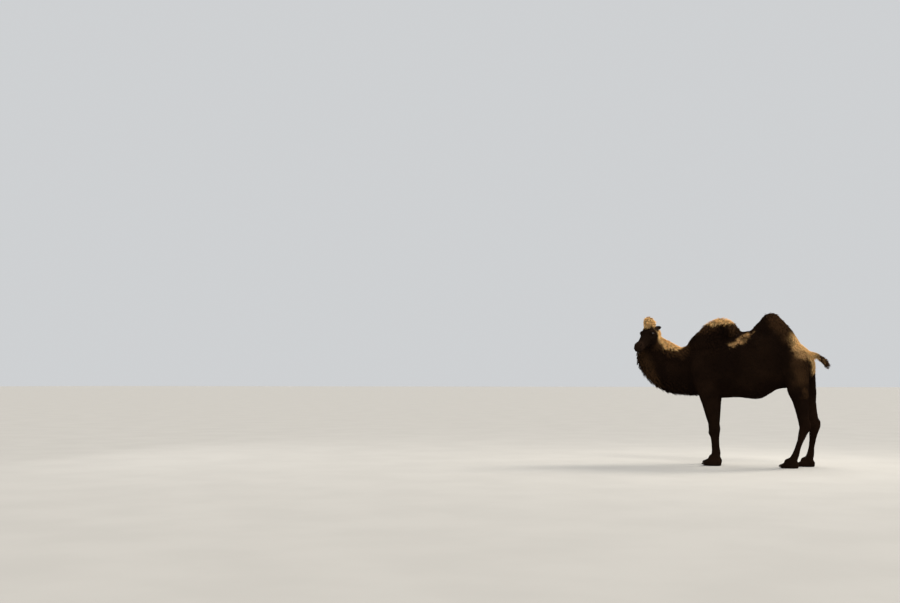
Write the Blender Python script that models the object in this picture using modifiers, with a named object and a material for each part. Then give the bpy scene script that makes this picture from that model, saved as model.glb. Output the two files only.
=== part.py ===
"""Bactrian camel, standing: a life-size still model, divided where a person names its parts.

Metres, +Z up, the animal faces -Y and its left side is +X. Each solid reaches to the tips of the
coat. The body is lofted from a few named sections, joined into one skin of voxels, and parted
with thin cuts.
"""

import math

import bmesh
import bpy
import numpy as np
from mathutils import Matrix, Vector

# ---- Driving sizes -------------------------------------------------------------------------
REAR_HUMP_TOP = 2.045  # height of the upright rear hump
FRONT_HUMP_TOP = 1.98  # height of the front hump, whose peak leans over to the left
BACK_HEIGHT = 1.80  # the saddle between the humps
BELLY_LOW = 0.885  # lowest point of the belly
HEAD_LENGTH = 0.52  # occiput to muzzle
STANCE_HALF_WIDTH = 0.19  # from the middle of the animal to the middle of a foot
GAP = 0.0004  # clear gap left between neighbouring solids
CORNER_GAP = 0.0008  # how much a coarse cutter grows, as its corners push its faces out less
VOXEL = 0.012  # grain of the whole body before it is thinned out
COARSE = 3000  # triangles over the whole body for the trunk, neck and legs
MEDIUM = 5400  # the same for the feet and the tail, whose shapes are small
FINE = 12000  # the same for the head
SOFTENING = 0.5  # share of the way each vertex moves to its neighbours' middle in one pass
TRUNK_PASSES = 30  # smoothing passes over the trunk, humps and neck
LIMB_TOP = 1.0  # below this height the limbs are smoothed less, and so is the tail behind
TAIL_START = 0.86
BODY_PASSES = 4  # smoothing passes over the whole body
SHARP_ANGLE = math.radians(50)
EYE_RADIUS = 0.024
EAR_LENGTH = 0.102
TOE_SPLAY = math.radians(7)
TOE_SPREAD = 0.039  # from the middle of the foot to the middle of a toe
TOE_START = -0.03  # from the middle of the foot forward to the middle of a toe
TOE_LENGTH = {True: 0.104, False: 0.096}  # half the length of a toe, of a fore foot or not

# ---- Head place: where the poll is, how far the face turns to the left side and drops -------
POLL = Vector((0.145, -1.415, 1.895))
HEAD_TURN = math.radians(76)
HEAD_DROP = math.radians(29)
HEAD_ROLL = math.radians(-3)
HEAD_REACH = 0.62  # all of the head lies this near the poll

PARTS = bpy.data.collections.new("bactrian_camel")
CUTTERS = bpy.data.collections.new("cutters")


# ---- Scene and material helpers --------------------------------------------------------------
def clear_scene():
    for obj in list(bpy.data.objects):
        bpy.data.objects.remove(obj)
    for collection in (PARTS, CUTTERS):
        bpy.context.scene.collection.children.link(collection)


def material(name, colour, roughness):
    made = bpy.data.materials.new(name)
    made.use_nodes = True
    shader = made.node_tree.nodes["Principled BSDF"]
    shader.inputs["Base Color"].default_value = (*colour, 1)
    shader.inputs["Roughness"].default_value = roughness
    shader.inputs["Metallic"].default_value = 0
    return made


def new_object(name, mesh, collection=PARTS):
    obj = bpy.data.objects.new(name, mesh)
    collection.objects.link(obj)
    return obj


def evaluated_mesh(obj):
    """The object's mesh with its modifiers, as a mesh of its own."""
    bpy.context.view_layer.update()
    graph = bpy.context.evaluated_depsgraph_get()
    return bpy.data.meshes.new_from_object(obj.evaluated_get(graph))


def settle(obj):
    """Turns the object's modifiers into its mesh."""
    mesh = evaluated_mesh(obj)
    obj.modifiers.clear()
    obj.data = mesh


def modified(obj, kind, **settings):
    modifier = obj.modifiers.new(kind.title(), kind)
    for key, value in settings.items():
        setattr(modifier, key, value)
    settle(obj)
    return obj


def remove(*objects):
    for obj in objects:
        bpy.data.objects.remove(obj)


def boolean(obj, other, operation):
    return modified(obj, "BOOLEAN", object=other, operation=operation, solver="EXACT")


def copy_of(obj, name):
    return new_object(name, obj.data.copy(), CUTTERS)


def grown(obj):
    """A copy of a closed solid, a little larger all over."""
    return modified(copy_of(obj, obj.name + "_grown"), "DISPLACE", strength=CORNER_GAP, mid_level=0)


# ---- Lofting ---------------------------------------------------------------------------------
# A section is four vectors: its middle, half its width to the left side, and how far it reaches
# up (or back) and down (or forward) from the middle.
def section(middle, side, up, down):
    return np.array([*middle, *side, *up, *down], float)


def upright_section(y, top, bottom, widest, half_width):
    """A slice across the trunk, egg-shaped: widest at the height given."""
    return section((0, y, widest), (half_width, 0, 0), (0, 0, top - widest), (0, 0, bottom - widest))


def level_section(x, y, z, half_width, half_length):
    """A slice across something upright, such as a leg or a hump."""
    return section((x, y, z), (half_width, 0, 0), (0, half_length, 0), (0, -half_length, 0))


def through(sections, count):
    """Sections along a smooth curve through the ones given."""
    rows = np.array([2 * sections[0] - sections[1], *sections, 2 * sections[-1] - sections[-2]])
    found = []
    for t in np.linspace(0, len(sections) - 1, count):
        i = min(int(t), len(sections) - 2)
        u = t - i
        a, b, c, d = rows[i : i + 4]
        found.append(
            b
            + 0.5 * u * (c - a)
            + u * u * (a - 2.5 * b + 2 * c - 0.5 * d)
            + u**3 * (1.5 * b - 1.5 * c + 0.5 * (d - a))
        )
    return found


def loft(name, sections, rings=28, sides=28, power=2.2, collection=CUTTERS):
    """A closed body through the sections. Power 2 gives ellipses and more gives fuller corners."""
    bm = bmesh.new()
    ring_verts = []
    for row in through(sections, rings):
        middle, side, up, down = (Vector(v) for v in row.reshape(4, 3))
        ring = []
        for k in range(sides):
            angle = 2 * math.pi * k / sides
            c, s = math.cos(angle), math.sin(angle)
            across = math.copysign(abs(c) ** (2 / power), c)
            along = abs(s) ** (2 / power)
            ring.append(bm.verts.new(middle + across * side + along * (up if s > 0 else down)))
        ring_verts.append(ring)
    for first, second in zip(ring_verts, ring_verts[1:]):
        for k in range(sides):
            after = (k + 1) % sides
            bm.faces.new((first[k], first[after], second[after], second[k]))
    for ring in (ring_verts[0], ring_verts[-1]):
        bm.faces.new(ring)
    bmesh.ops.triangulate(bm, faces=bm.faces)
    bmesh.ops.recalc_face_normals(bm, faces=bm.faces)
    mesh = bpy.data.meshes.new(name)
    bm.to_mesh(mesh)
    bm.free()
    return new_object(name, mesh, collection)


def ball(name, middle, radii, turn=None, segments=24, rings=14, collection=CUTTERS):
    """An ellipsoid, made as a round primitive, stretched and put in its place."""
    bm = bmesh.new()
    bmesh.ops.create_uvsphere(bm, u_segments=segments, v_segments=rings, radius=1)
    place = Matrix.Translation(middle) @ (turn or Matrix.Identity(4)) @ Matrix.Diagonal((*radii, 1))
    bmesh.ops.transform(bm, matrix=place, verts=bm.verts)
    mesh = bpy.data.meshes.new(name)
    bm.to_mesh(mesh)
    bm.free()
    return new_object(name, mesh, collection)


def joined(name, pieces):
    """Several meshes as one, still overlapping."""
    bm = bmesh.new()
    for piece in pieces:
        bm.from_mesh(piece.data)
    mesh = bpy.data.meshes.new(name)
    bm.to_mesh(mesh)
    bm.free()
    remove(*pieces)
    return new_object(name, mesh, CUTTERS)


# ---- Trunk, humps and neck -------------------------------------------------------------------
def trunk_pieces():
    barrel = [
        upright_section(-0.98, 1.47, 1.10, 1.30, 0.08),
        upright_section(-0.89, 1.62, 0.97, 1.30, 0.185),
        upright_section(-0.73, 1.74, 0.905, 1.27, 0.25),
        upright_section(-0.50, 1.79, 0.895, 1.24, 0.295),
        upright_section(-0.27, BACK_HEIGHT, 0.905, 1.23, 0.34),
        upright_section(-0.02, BACK_HEIGHT, BELLY_LOW, 1.23, 0.365),
        upright_section(0.12, BACK_HEIGHT, 0.94, 1.26, 0.355),
        upright_section(0.24, 1.78, 1.01, 1.31, 0.325),
        upright_section(0.38, 1.72, 1.03, 1.36, 0.285),
        upright_section(0.50, 1.66, 1.05, 1.38, 0.245),
        upright_section(0.62, 1.57, 1.10, 1.36, 0.195),
        upright_section(0.695, 1.46, 1.18, 1.33, 0.13),
        upright_section(0.735, 1.37, 1.24, 1.31, 0.06),
    ]
    chest_pad = ball("chest_pad", (0, -0.62, 0.915), (0.10, 0.14, 0.05))
    return [loft("barrel", barrel, rings=48, power=2.15), chest_pad]


def hump_pieces():
    rear = [
        level_section(0, 0.20, 1.58, 0.26, 0.38),
        level_section(0, 0.185, 1.70, 0.22, 0.325),
        level_section(0, 0.178, 1.80, 0.18, 0.275),
        level_section(0, 0.184, 1.89, 0.135, 0.20),
        level_section(0, 0.184, 1.94, 0.105, 0.150),
        level_section(0, 0.178, 2.00, 0.078, 0.100),
        level_section(0, 0.172, REAR_HUMP_TOP - 0.012, 0.05, 0.06),
        level_section(0, 0.170, REAR_HUMP_TOP, 0.02, 0.025),
    ]
    front = [
        level_section(0, -0.59, 1.58, 0.25, 0.39),
        level_section(0, -0.555, 1.70, 0.215, 0.355),
        level_section(0.005, -0.505, 1.82, 0.175, 0.275),
        level_section(0.015, -0.500, 1.89, 0.145, 0.210),
        level_section(0.030, -0.488, 1.935, 0.11, 0.155),
        level_section(0.040, -0.480, FRONT_HUMP_TOP - 0.012, 0.065, 0.09),
        level_section(0.045, -0.475, FRONT_HUMP_TOP, 0.025, 0.035),
    ]
    # The front hump's slack peak, fallen over to the left and back.
    fallen = [
        section((0.03, -0.43, 1.90), (0.02, 0, 0.07), (0, 0.10, 0), (0, -0.12, 0)),
        section((0.105, -0.395, 1.895), (0.03, 0, 0.062), (0, 0.11, 0), (0, -0.13, 0)),
        section((0.165, -0.365, 1.845), (0.05, 0, 0.03), (0, 0.10, 0), (0, -0.115, 0)),
        section((0.192, -0.345, 1.785), (0.045, 0, 0.0), (0, 0.075, 0), (0, -0.085, 0)),
        section((0.205, -0.335, 1.73), (0.022, 0, 0), (0, 0.035, 0), (0, -0.04, 0)),
    ]
    return [
        loft("rear_hump", rear, power=2.1),
        loft("front_hump", front, power=2.1),
        loft("fallen_peak", fallen, rings=20, power=2.1),
    ]


def neck_section(nape, throat, lean, half_width):
    """A slice across the neck from its nape to the fringe at its throat, both (y, z)."""
    nape, throat = Vector((lean, *nape)), Vector((lean, *throat))
    middle = nape.lerp(throat, 0.40)
    return section(middle, (half_width, 0, 0), nape - middle, throat - middle)


def neck_pieces():
    sections = [
        neck_section((-1.395, 1.85), (-1.53, 1.68), 0.125, 0.070),
        neck_section((-1.355, 1.79), (-1.625, 1.56), 0.095, 0.100),
        neck_section((-1.290, 1.752), (-1.655, 1.39), 0.055, 0.115),
        neck_section((-1.212, 1.698), (-1.58, 1.24), 0.025, 0.13),
        neck_section((-1.125, 1.648), (-1.46, 1.10), 0.01, 0.145),
        neck_section((-1.035, 1.606), (-1.28, 0.985), 0.0, 0.16),
        neck_section((-0.94, 1.628), (-1.08, 0.945), 0.0, 0.185),
        neck_section((-0.81, 1.70), (-0.88, 0.93), 0.0, 0.21),
        neck_section((-0.68, 1.70), (-0.74, 0.98), 0.0, 0.19),
    ]
    return [loft("neck", sections, rings=44, power=2.1)]


def tail_pieces():
    stations = [
        ((0.0, 0.60, 1.50), 0.048),
        ((0.01, 0.69, 1.48), 0.048),
        ((0.05, 0.775, 1.445), 0.046),
        ((0.11, 0.85, 1.39), 0.047),
        ((0.165, 0.898, 1.335), 0.042),
        ((0.186, 0.914, 1.302), 0.026),
    ]
    sections = [
        section(at, (radius, 0, 0), (0, 0.8 * radius, 0.75 * radius), (0, -0.8 * radius, -0.75 * radius))
        for at, radius in stations
    ]
    return [loft("tail", sections, rings=20, sides=16, power=2)]


# ---- Legs ------------------------------------------------------------------------------------
# Each leg is named by its joints, from the top down, and thickened by one table for all fore
# legs and one for all hind legs: (joint above, joint below, share of the way, half width, half
# depth).
FORE_SHAPE = [
    ("withers", "shoulder", 0.0, 0.055, 0.10),
    ("withers", "shoulder", 0.55, 0.080, 0.155),
    ("shoulder", "elbow", 0.2, 0.090, 0.170),
    ("shoulder", "elbow", 0.8, 0.088, 0.165),
    ("elbow", "knee", 0.3, 0.078, 0.125),
    ("elbow", "knee", 0.6, 0.062, 0.098),
    ("elbow", "knee", 0.85, 0.054, 0.074),
    ("elbow", "knee", 1.0, 0.060, 0.076),
    ("knee", "fetlock", 0.18, 0.053, 0.066),
    ("knee", "fetlock", 0.42, 0.042, 0.053),
    ("knee", "fetlock", 0.72, 0.041, 0.051),
    ("fetlock", "foot", 0.0, 0.052, 0.060),
    ("fetlock", "foot", 0.60, 0.066, 0.074),
]
HIND_SHAPE = [
    ("croup", "hip", 0.0, 0.065, 0.12),
    ("croup", "hip", 0.75, 0.098, 0.165),
    ("hip", "stifle", 0.35, 0.108, 0.165),
    ("hip", "stifle", 1.0, 0.098, 0.145),
    ("stifle", "hock", 0.30, 0.078, 0.105),
    ("stifle", "hock", 0.60, 0.060, 0.085),
    ("stifle", "hock", 0.85, 0.050, 0.076),
    ("stifle", "hock", 1.0, 0.053, 0.078),
    ("hock", "fetlock", 0.22, 0.045, 0.062),
    ("hock", "fetlock", 0.45, 0.038, 0.048),
    ("hock", "fetlock", 0.75, 0.037, 0.043),
    ("fetlock", "foot", 0.0, 0.048, 0.056),
    ("fetlock", "foot", 0.60, 0.062, 0.068),
]

# Place of each joint: share of the half stance, distance along the body, height.
LEGS = {
    "fore_left": {
        "withers": (0.85, -0.72, 1.58),
        "shoulder": (1.12, -0.715, 1.30),
        "elbow": (1.06, -0.61, 0.97),
        "knee": (0.98, -0.560, 0.475),
        "fetlock": (0.98, -0.545, 0.150),
        "foot": (1.0, -0.580, 0.045),
    },
    "fore_right": {
        "withers": (0.85, -0.72, 1.58),
        "shoulder": (1.12, -0.745, 1.30),
        "elbow": (1.06, -0.680, 0.97),
        "knee": (0.98, -0.630, 0.475),
        "fetlock": (0.98, -0.620, 0.150),
        "foot": (1.0, -0.660, 0.045),
    },
    "hind_left": {
        "croup": (0.68, 0.51, 1.54),
        "hip": (1.02, 0.515, 1.35),
        "stifle": (1.16, 0.545, 1.00),
        "hock": (0.92, 0.612, 0.52),
        "fetlock": (0.96, 0.478, 0.155),
        "foot": (1.0, 0.415, 0.045),
    },
    "hind_right": {
        "croup": (0.68, 0.51, 1.54),
        "hip": (1.02, 0.53, 1.35),
        "stifle": (1.16, 0.570, 1.00),
        "hock": (0.92, 0.680, 0.53),
        "fetlock": (0.96, 0.615, 0.155),
        "foot": (1.0, 0.560, 0.045),
    },
}
SIDES = {"left": 1, "right": -1}


def joint_places(leg):
    side = SIDES[leg.split("_")[1]] * STANCE_HALF_WIDTH
    return {name: Vector((x * side, y, z)) for name, (x, y, z) in LEGS[leg].items()}


def is_fore(leg):
    return leg.startswith("fore")


def foot_pieces(leg, foot):
    """Two broad toes side by side, a little apart in front, on one soft pad with a heel."""
    length = TOE_LENGTH[is_fore(leg)]
    pieces = [
        ball(f"{leg}_heel", foot + Vector((0, 0.058, -0.005)), (0.066, 0.058, 0.066)),
        ball(f"{leg}_instep", foot + Vector((0, 0.0, 0.032)), (0.064, 0.075, 0.060)),
        ball(f"{leg}_pad", foot + Vector((0, -0.01, -0.035)), (0.088, 0.108, 0.030)),
    ]
    for side in (-1, 1):
        turn = Matrix.Rotation(TOE_SPLAY * side, 4, "Z")
        toe = foot + turn @ Vector((TOE_SPREAD * side, TOE_START, -0.018))
        pieces.append(ball(f"{leg}_toe", toe, (0.047, length, 0.052), turn))
    return pieces


def leg_pieces():
    pieces = []
    for leg in LEGS:
        at = joint_places(leg)
        shape = FORE_SHAPE if is_fore(leg) else HIND_SHAPE
        sections = []
        for above, below, share, half_width, half_depth in shape:
            spot = at[above].lerp(at[below], share)
            sections.append(level_section(*spot, half_width, half_depth))
        pieces.append(loft(leg, sections, rings=56, sides=20, power=2.1))
        pieces += foot_pieces(leg, at["foot"])
        # The points of the elbow and knee, or the point of the hock.
        if is_fore(leg):
            side = math.copysign(1, at["elbow"].x)
            elbow = at["elbow"] + Vector((0.012 * side, 0.085, 0.01))
            pieces.append(ball(f"{leg}_elbow", elbow, (0.055, 0.070, 0.085)))
            knee_cap = at["knee"] + Vector((0, -0.012, -0.03))
            pieces.append(ball(f"{leg}_knee", knee_cap, (0.058, 0.070, 0.075)))
        else:
            heel_bone = at["hock"] + Vector((0, 0.040, 0.035))
            pieces.append(ball(f"{leg}_hock", heel_bone, (0.034, 0.045, 0.075)))
    return pieces


# ---- Head ------------------------------------------------------------------------------------
# Modelled looking along -Y from the poll, then turned and dropped into place.
def head_place():
    turn = Matrix.Rotation(HEAD_TURN, 4, "Z")
    drop = Matrix.Rotation(HEAD_DROP, 4, "X")
    roll = Matrix.Rotation(HEAD_ROLL, 4, "Y")
    return Matrix.Translation(POLL) @ turn @ drop @ roll


def head_section(along, top, bottom, widest, half_width):
    return upright_section(-along, top, bottom, widest, half_width)


def skull_pieces():
    skull = [
        head_section(-0.055, -0.03, -0.13, -0.08, 0.045),
        head_section(-0.01, 0.005, -0.20, -0.09, 0.086),
        head_section(0.06, 0.022, -0.235, -0.085, 0.098),
        head_section(0.12, 0.026, -0.246, -0.080, 0.100),
        head_section(0.18, 0.016, -0.238, -0.085, 0.092),
        head_section(0.24, -0.006, -0.212, -0.090, 0.078),
        head_section(0.31, -0.026, -0.190, -0.098, 0.067),
        head_section(0.38, -0.040, -0.174, -0.103, 0.061),
        head_section(0.435, -0.042, -0.168, -0.098, 0.062),
        head_section(0.485, -0.058, -0.165, -0.105, 0.056),
        head_section(HEAD_LENGTH - 0.01, -0.085, -0.150, -0.115, 0.034),
    ]
    pieces = [loft("skull", skull, rings=48, power=2.35)]
    for side in (-1, 1):
        pieces += [
            ball("brow", (0.068 * side, -0.155, -0.022), (0.034, 0.055, 0.026)),
            ball("cheek", (0.058 * side, -0.070, -0.120), (0.045, 0.085, 0.080)),
            ball("cheek_bone", (0.062 * side, -0.185, -0.088), (0.030, 0.075, 0.020)),
            ball("nostril_rim", (0.033 * side, -0.440, -0.066), (0.021, 0.042, 0.022)),
            ball("lip", (0.022 * side, -0.490, -0.110), (0.030, 0.034, 0.038)),
        ]
    pieces.append(ball("chin", (0, -0.458, -0.166), (0.036, 0.048, 0.022)))
    pieces.append(ball("throat", (0, 0.02, -0.15), (0.085, 0.11, 0.11)))
    # The woolly topknot on the crown.
    pieces.append(ball("crown_wool", (0, -0.025, 0.045), (0.088, 0.095, 0.075)))
    pieces.append(ball("crown_top", (0.006, -0.032, 0.088), (0.071, 0.076, 0.067)))
    pieces.append(ball("forelock", (0, -0.100, 0.030), (0.060, 0.055, 0.045)))
    return in_place(pieces)


def in_place(pieces):
    for piece in pieces:
        piece.data.transform(head_place())
    return pieces


def eye(name, side):
    middle = (0.080 * side, -0.165, -0.050)
    return in_place([ball(name, middle, [EYE_RADIUS] * 3, segments=12, rings=6, collection=PARTS)])[0]


def ear(name, side):
    """A short round ear, laid out and back from behind the eye, its hollow facing forward."""
    root = Vector((0.054 * side, -0.032, -0.046))
    out = Vector((0.60 * side, 0.76, -0.10)).normalized()
    forward = Vector((0.79 * side, -0.51, 0.30))
    across = out.cross(forward).normalized()
    forward = across.cross(out)
    # Share of the length, half width and half thickness.
    shape = [
        (0.0, 0.020, 0.017),
        (0.22, 0.030, 0.019),
        (0.50, 0.038, 0.017),
        (0.76, 0.031, 0.013),
        (0.92, 0.019, 0.009),
        (1.0, 0.008, 0.005),
    ]
    sections = []
    for share, half_width, half_depth in shape:
        depth = forward * half_depth
        sections.append(section(root + out * share * EAR_LENGTH, across * half_width, depth, -depth))
    return in_place([loft(name, sections, rings=6, sides=8, power=2, collection=PARTS)])[0]


# ---- The whole body and its cuts --------------------------------------------------------------
def relax(obj, passes, wanted):
    """Smooths the vertices whose place passes the test."""
    group = obj.vertex_groups.new(name="soft")
    group.add([v.index for v in obj.data.vertices if wanted(v.co)], 1, "REPLACE")
    modified(obj, "SMOOTH", factor=SOFTENING, iterations=passes, vertex_group="soft")
    obj.vertex_groups.clear()


def in_head(place):
    return (place - POLL).length < HEAD_REACH and place.y < -1.36 and place.z > 1.5


def whole_body():
    pieces = trunk_pieces() + hump_pieces() + neck_pieces() + tail_pieces() + leg_pieces() + skull_pieces()
    body = joined("whole", pieces)
    modified(body, "REMESH", mode="VOXEL", voxel_size=VOXEL, adaptivity=0)
    relax(body, TRUNK_PASSES, lambda p: p.z > LIMB_TOP and p.y < TAIL_START and not in_head(p))
    relax(body, BODY_PASSES, lambda p: True)
    return body


def thinned(whole, name, triangles):
    copy = copy_of(whole, name)
    count = sum(len(face.vertices) - 2 for face in copy.data.polygons)
    return modified(copy, "DECIMATE", ratio=triangles / count, use_collapse_triangulate=True)


def turned_cube(middle, normal, size):
    """A box about the middle given, whose own Z lies along the normal."""
    turn = Vector(normal).to_track_quat("Z", "Y").to_matrix().to_4x4()
    bm = bmesh.new()
    bmesh.ops.create_cube(bm, size=1)
    place = Matrix.Translation(middle) @ turn @ Matrix.Diagonal((*size, 1))
    bmesh.ops.transform(bm, matrix=place, verts=bm.verts)
    mesh = bpy.data.meshes.new("cutter")
    bm.to_mesh(mesh)
    bm.free()
    return new_object("cutter", mesh, CUTTERS)


def sheet_cut(middle, normal, width, length):
    """A cutter as thin as the gap, to part a body in two."""
    return turned_cube(middle, normal, (width, length, GAP))


def slice_of_height(low, high):
    """A broad flat box between two heights, for cutting off all the feet at once."""
    return turned_cube((0, 0, (low + high) / 2), (0, 0, 1), (2, 3, high - low))


def minus(obj, *cutters):
    for cutter in cutters:
        boolean(obj, cutter, "DIFFERENCE")
    remove(*cutters)


def within(obj, cutter):
    boolean(obj, cutter, "INTERSECT")
    remove(cutter)


def nested(holder, part):
    """Makes room in the holder for a part that sits in it."""
    minus(holder, grown(part))


def split(obj, cutter, name):
    """Takes what lies inside the cutter off the object, as a part of its own."""
    part = copy_of(obj, name)
    minus(obj, grown(cutter))
    within(part, cutter)
    return part


def loose_bodies(obj):
    """The separate bodies of a mesh, each as an object of its own."""
    bm = bmesh.new()
    bm.from_mesh(obj.data)
    owner = {}
    for start in bm.verts:
        if start.index in owner:
            continue
        stack = [start]
        owner[start.index] = start.index
        while stack:
            for edge in stack.pop().link_edges:
                for vert in edge.verts:
                    if vert.index not in owner:
                        owner[vert.index] = start.index
                        stack.append(vert)
    bm.free()
    made = []
    for body in sorted(set(owner.values())):
        bm = bmesh.new()
        bm.from_mesh(obj.data)
        others = [vert for vert in bm.verts if owner[vert.index] != body]
        bmesh.ops.delete(bm, geom=others, context="VERTS")
        mesh = bpy.data.meshes.new("part")
        bm.to_mesh(mesh)
        bm.free()
        made.append(new_object("part", mesh, PARTS))
    remove(obj)
    return made


def centre(obj):
    corners = [Vector(corner) for corner in obj.bound_box]
    return sum(corners, Vector()) / len(corners)


def named_by_place(obj, places):
    """Parts an object into its loose bodies, and names each by the place nearest its middle."""
    bodies = loose_bodies(obj)
    found = {}
    for name, place in places.items():
        nearest = min(bodies, key=lambda body: (centre(body) - Vector(place)).length)
        nearest.name = name
        found[name] = nearest
        bodies.remove(nearest)
    assert not bodies, f"{len(bodies)} bodies left over near {list(places)[0]}"
    return found


# ---- Where the body is parted ------------------------------------------------------------------
# A point on each cut and the way that it faces.
NECK_CUT = ((0.02, -1.38, 1.45), (0, -0.76, 0.65))
SHOULDER_CUT = ((0, -0.99, 1.27), (0, -0.977, 0.212))
FRONT_HUMP_CUT = ((0, -0.53, 1.725), (0, -0.20, 0.98))
REAR_HUMP_CUT = ((0, 0.24, 1.700), (0, 0.26, 0.965))
TAIL_CUT = ((0.035, 0.765, 1.450), (0.30, 0.85, -0.40))
FOOT_CUT_HEIGHT = 0.118
KNEE_CUT_DROP = 0.045  # below the knee joint
HOCK_CUT_DROP = 0.075  # below the hock joint

# Leg cutters: (height, distance along the body, half length), from the top of the limb down.
FORE_REACH = [
    (1.56, -0.735, 0.07),
    (1.46, -0.735, 0.13),
    (1.28, -0.725, 0.175),
    (1.05, -0.670, 0.165),
    (0.90, -0.640, 0.170),
    (0.60, -0.610, 0.20),
    (0.05, -0.610, 0.24),
]
HIND_REACH = [
    (1.56, 0.500, 0.07),
    (1.50, 0.505, 0.12),
    (1.30, 0.520, 0.19),
    (1.06, 0.545, 0.175),
    (0.93, 0.560, 0.19),
    (0.55, 0.60, 0.25),
    (0.05, 0.55, 0.30),
]
INNER_SIDE = 0.075
OUTER_SIDE = 0.50


def leg_cutter(leg):
    reach = FORE_REACH if is_fore(leg) else HIND_REACH
    side = SIDES[leg.split("_")[1]]
    middle = side * (INNER_SIDE + OUTER_SIDE) / 2
    half_width = (OUTER_SIDE - INNER_SIDE) / 2
    sections = [level_section(middle, y, z, half_width, half_length) for z, y, half_length in reach]
    return loft(f"{leg}_cutter", sections, rings=7, sides=8, power=4)


def parted_legs(body):
    """Takes each leg off the body and cuts it across below its knee or hock."""
    found = {}
    for leg in LEGS:
        at = joint_places(leg)
        limb = split(body, leg_cutter(leg), leg)
        upper, middle = (at["elbow"], at["knee"]) if is_fore(leg) else (at["stifle"], at["hock"])
        drop = KNEE_CUT_DROP if is_fore(leg) else HOCK_CUT_DROP
        minus(limb, sheet_cut(middle - Vector((0, 0, drop)), (0, 0, 1), 0.3, 0.4))
        places = {f"{leg}_upper": upper, f"{leg}_lower": at["fetlock"].lerp(middle, 0.5)}
        found |= named_by_place(limb, places)
    return found


def parted_trunk(body):
    """The trunk, its two humps, the neck in two lengths and the tail."""
    minus(
        body,
        sheet_cut(*FRONT_HUMP_CUT, 1.0, 0.86),
        sheet_cut(*REAR_HUMP_CUT, 1.0, 0.80),
        sheet_cut(*SHOULDER_CUT, 0.7, 0.9),
        sheet_cut(*NECK_CUT, 0.5, 0.8),
        sheet_cut(*TAIL_CUT, 0.13, 0.13),
    )
    places = {
        "hump_front": (0, -0.5, 1.85),
        "hump_rear": (0, 0.2, 1.85),
        "neck_lower": (0, -1.2, 1.25),
        "neck_upper": (0.04, -1.5, 1.65),
        "tail": (0.12, 0.86, 1.38),
        "trunk": (0, -0.1, 1.3),
    }
    return named_by_place(body, places)


def parted_feet(whole):
    """The four feet, each on a flat sole."""
    feet = thinned(whole, "feet", MEDIUM)
    within(feet, slice_of_height(0, FOOT_CUT_HEIGHT - GAP / 2))
    return named_by_place(feet, {f"{leg}_foot": joint_places(leg)["foot"] for leg in LEGS})


def toenail(name, foot, leg, side):
    """A short blunt nail on the front of one toe."""
    reach = TOE_LENGTH[is_fore(leg)] - 0.012
    turn = Matrix.Rotation(TOE_SPLAY * side, 4, "Z")
    tip = foot + turn @ Vector((TOE_SPREAD * side, TOE_START - reach, -0.014))
    return ball(name, tip, (0.022, 0.022, 0.019), turn, segments=8, rings=5, collection=PARTS)


def head_cutter():
    """A roomy case round the head, which parts it from the neck behind and under the jaw."""
    case = [
        head_section(-0.085, 0.16, 0.00, 0.06, 0.10),
        head_section(-0.045, 0.18, -0.13, 0.0, 0.13),
        head_section(0.0, 0.19, -0.25, -0.06, 0.145),
        head_section(0.08, 0.19, -0.268, -0.08, 0.16),
        head_section(0.18, 0.16, -0.262, -0.08, 0.16),
        head_section(0.35, 0.08, -0.24, -0.08, 0.14),
        head_section(0.58, 0.06, -0.24, -0.08, 0.12),
    ]
    return in_place([loft("head_cutter", case, rings=9, sides=12, power=3)])[0]


def parted_head(whole):
    """The head, its topknot, ears and eyes."""
    head = thinned(whole, "head_whole", FINE)
    within(head, head_cutter())
    place = head_place()
    up = place.to_3x3() @ Vector((0, 0.15, 1))
    minus(head, sheet_cut(place @ Vector((0, -0.045, 0.036)), up, 0.28, 0.28))
    places = {"topknot": place @ Vector((0, -0.03, 0.08)), "head": place @ Vector((0, -0.22, -0.1))}
    found = named_by_place(head, places)
    for name, side in SIDES.items():
        for part in (eye(f"eye_{name}", side), ear(f"ear_{name}", side)):
            nested(found["head"], part)
            nested(found["topknot"], part)
            found[part.name] = part
    return found


def finish(found):
    """Materials, smooth shading, and cutters out of sight."""
    dark = material("short_dark_coat", (0.035, 0.022, 0.015), 0.85)
    sandy = material("long_sandy_wool", (0.46, 0.29, 0.14), 0.95)
    glassy = material("eye", (0.02, 0.012, 0.008), 0.1)
    horny = material("toenail", (0.05, 0.042, 0.035), 0.5)
    for name, part in found.items():
        if name.startswith("eye"):
            chosen = glassy
        elif name.startswith("toenail"):
            chosen = horny
        elif name in ("topknot", "hump_front"):
            chosen = sandy
        else:
            chosen = dark
        part.data.materials.clear()
        part.data.materials.append(chosen)
        part.data.shade_smooth()
        part.data.set_sharp_from_angle(angle=SHARP_ANGLE)
    for cutter in CUTTERS.objects:
        cutter.hide_render = True
        cutter.display_type = "WIRE"


def move_to_origin(found):
    """Puts the middle of the whole animal's box over the origin, with the soles at height 0."""
    corners = np.array([vert.co for part in found.values() for vert in part.data.vertices])
    low, high = corners.min(axis=0), corners.max(axis=0)
    shift = Matrix.Translation((-(low[0] + high[0]) / 2, -(low[1] + high[1]) / 2, 0))
    for part in found.values():
        part.data.transform(shift)


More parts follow.
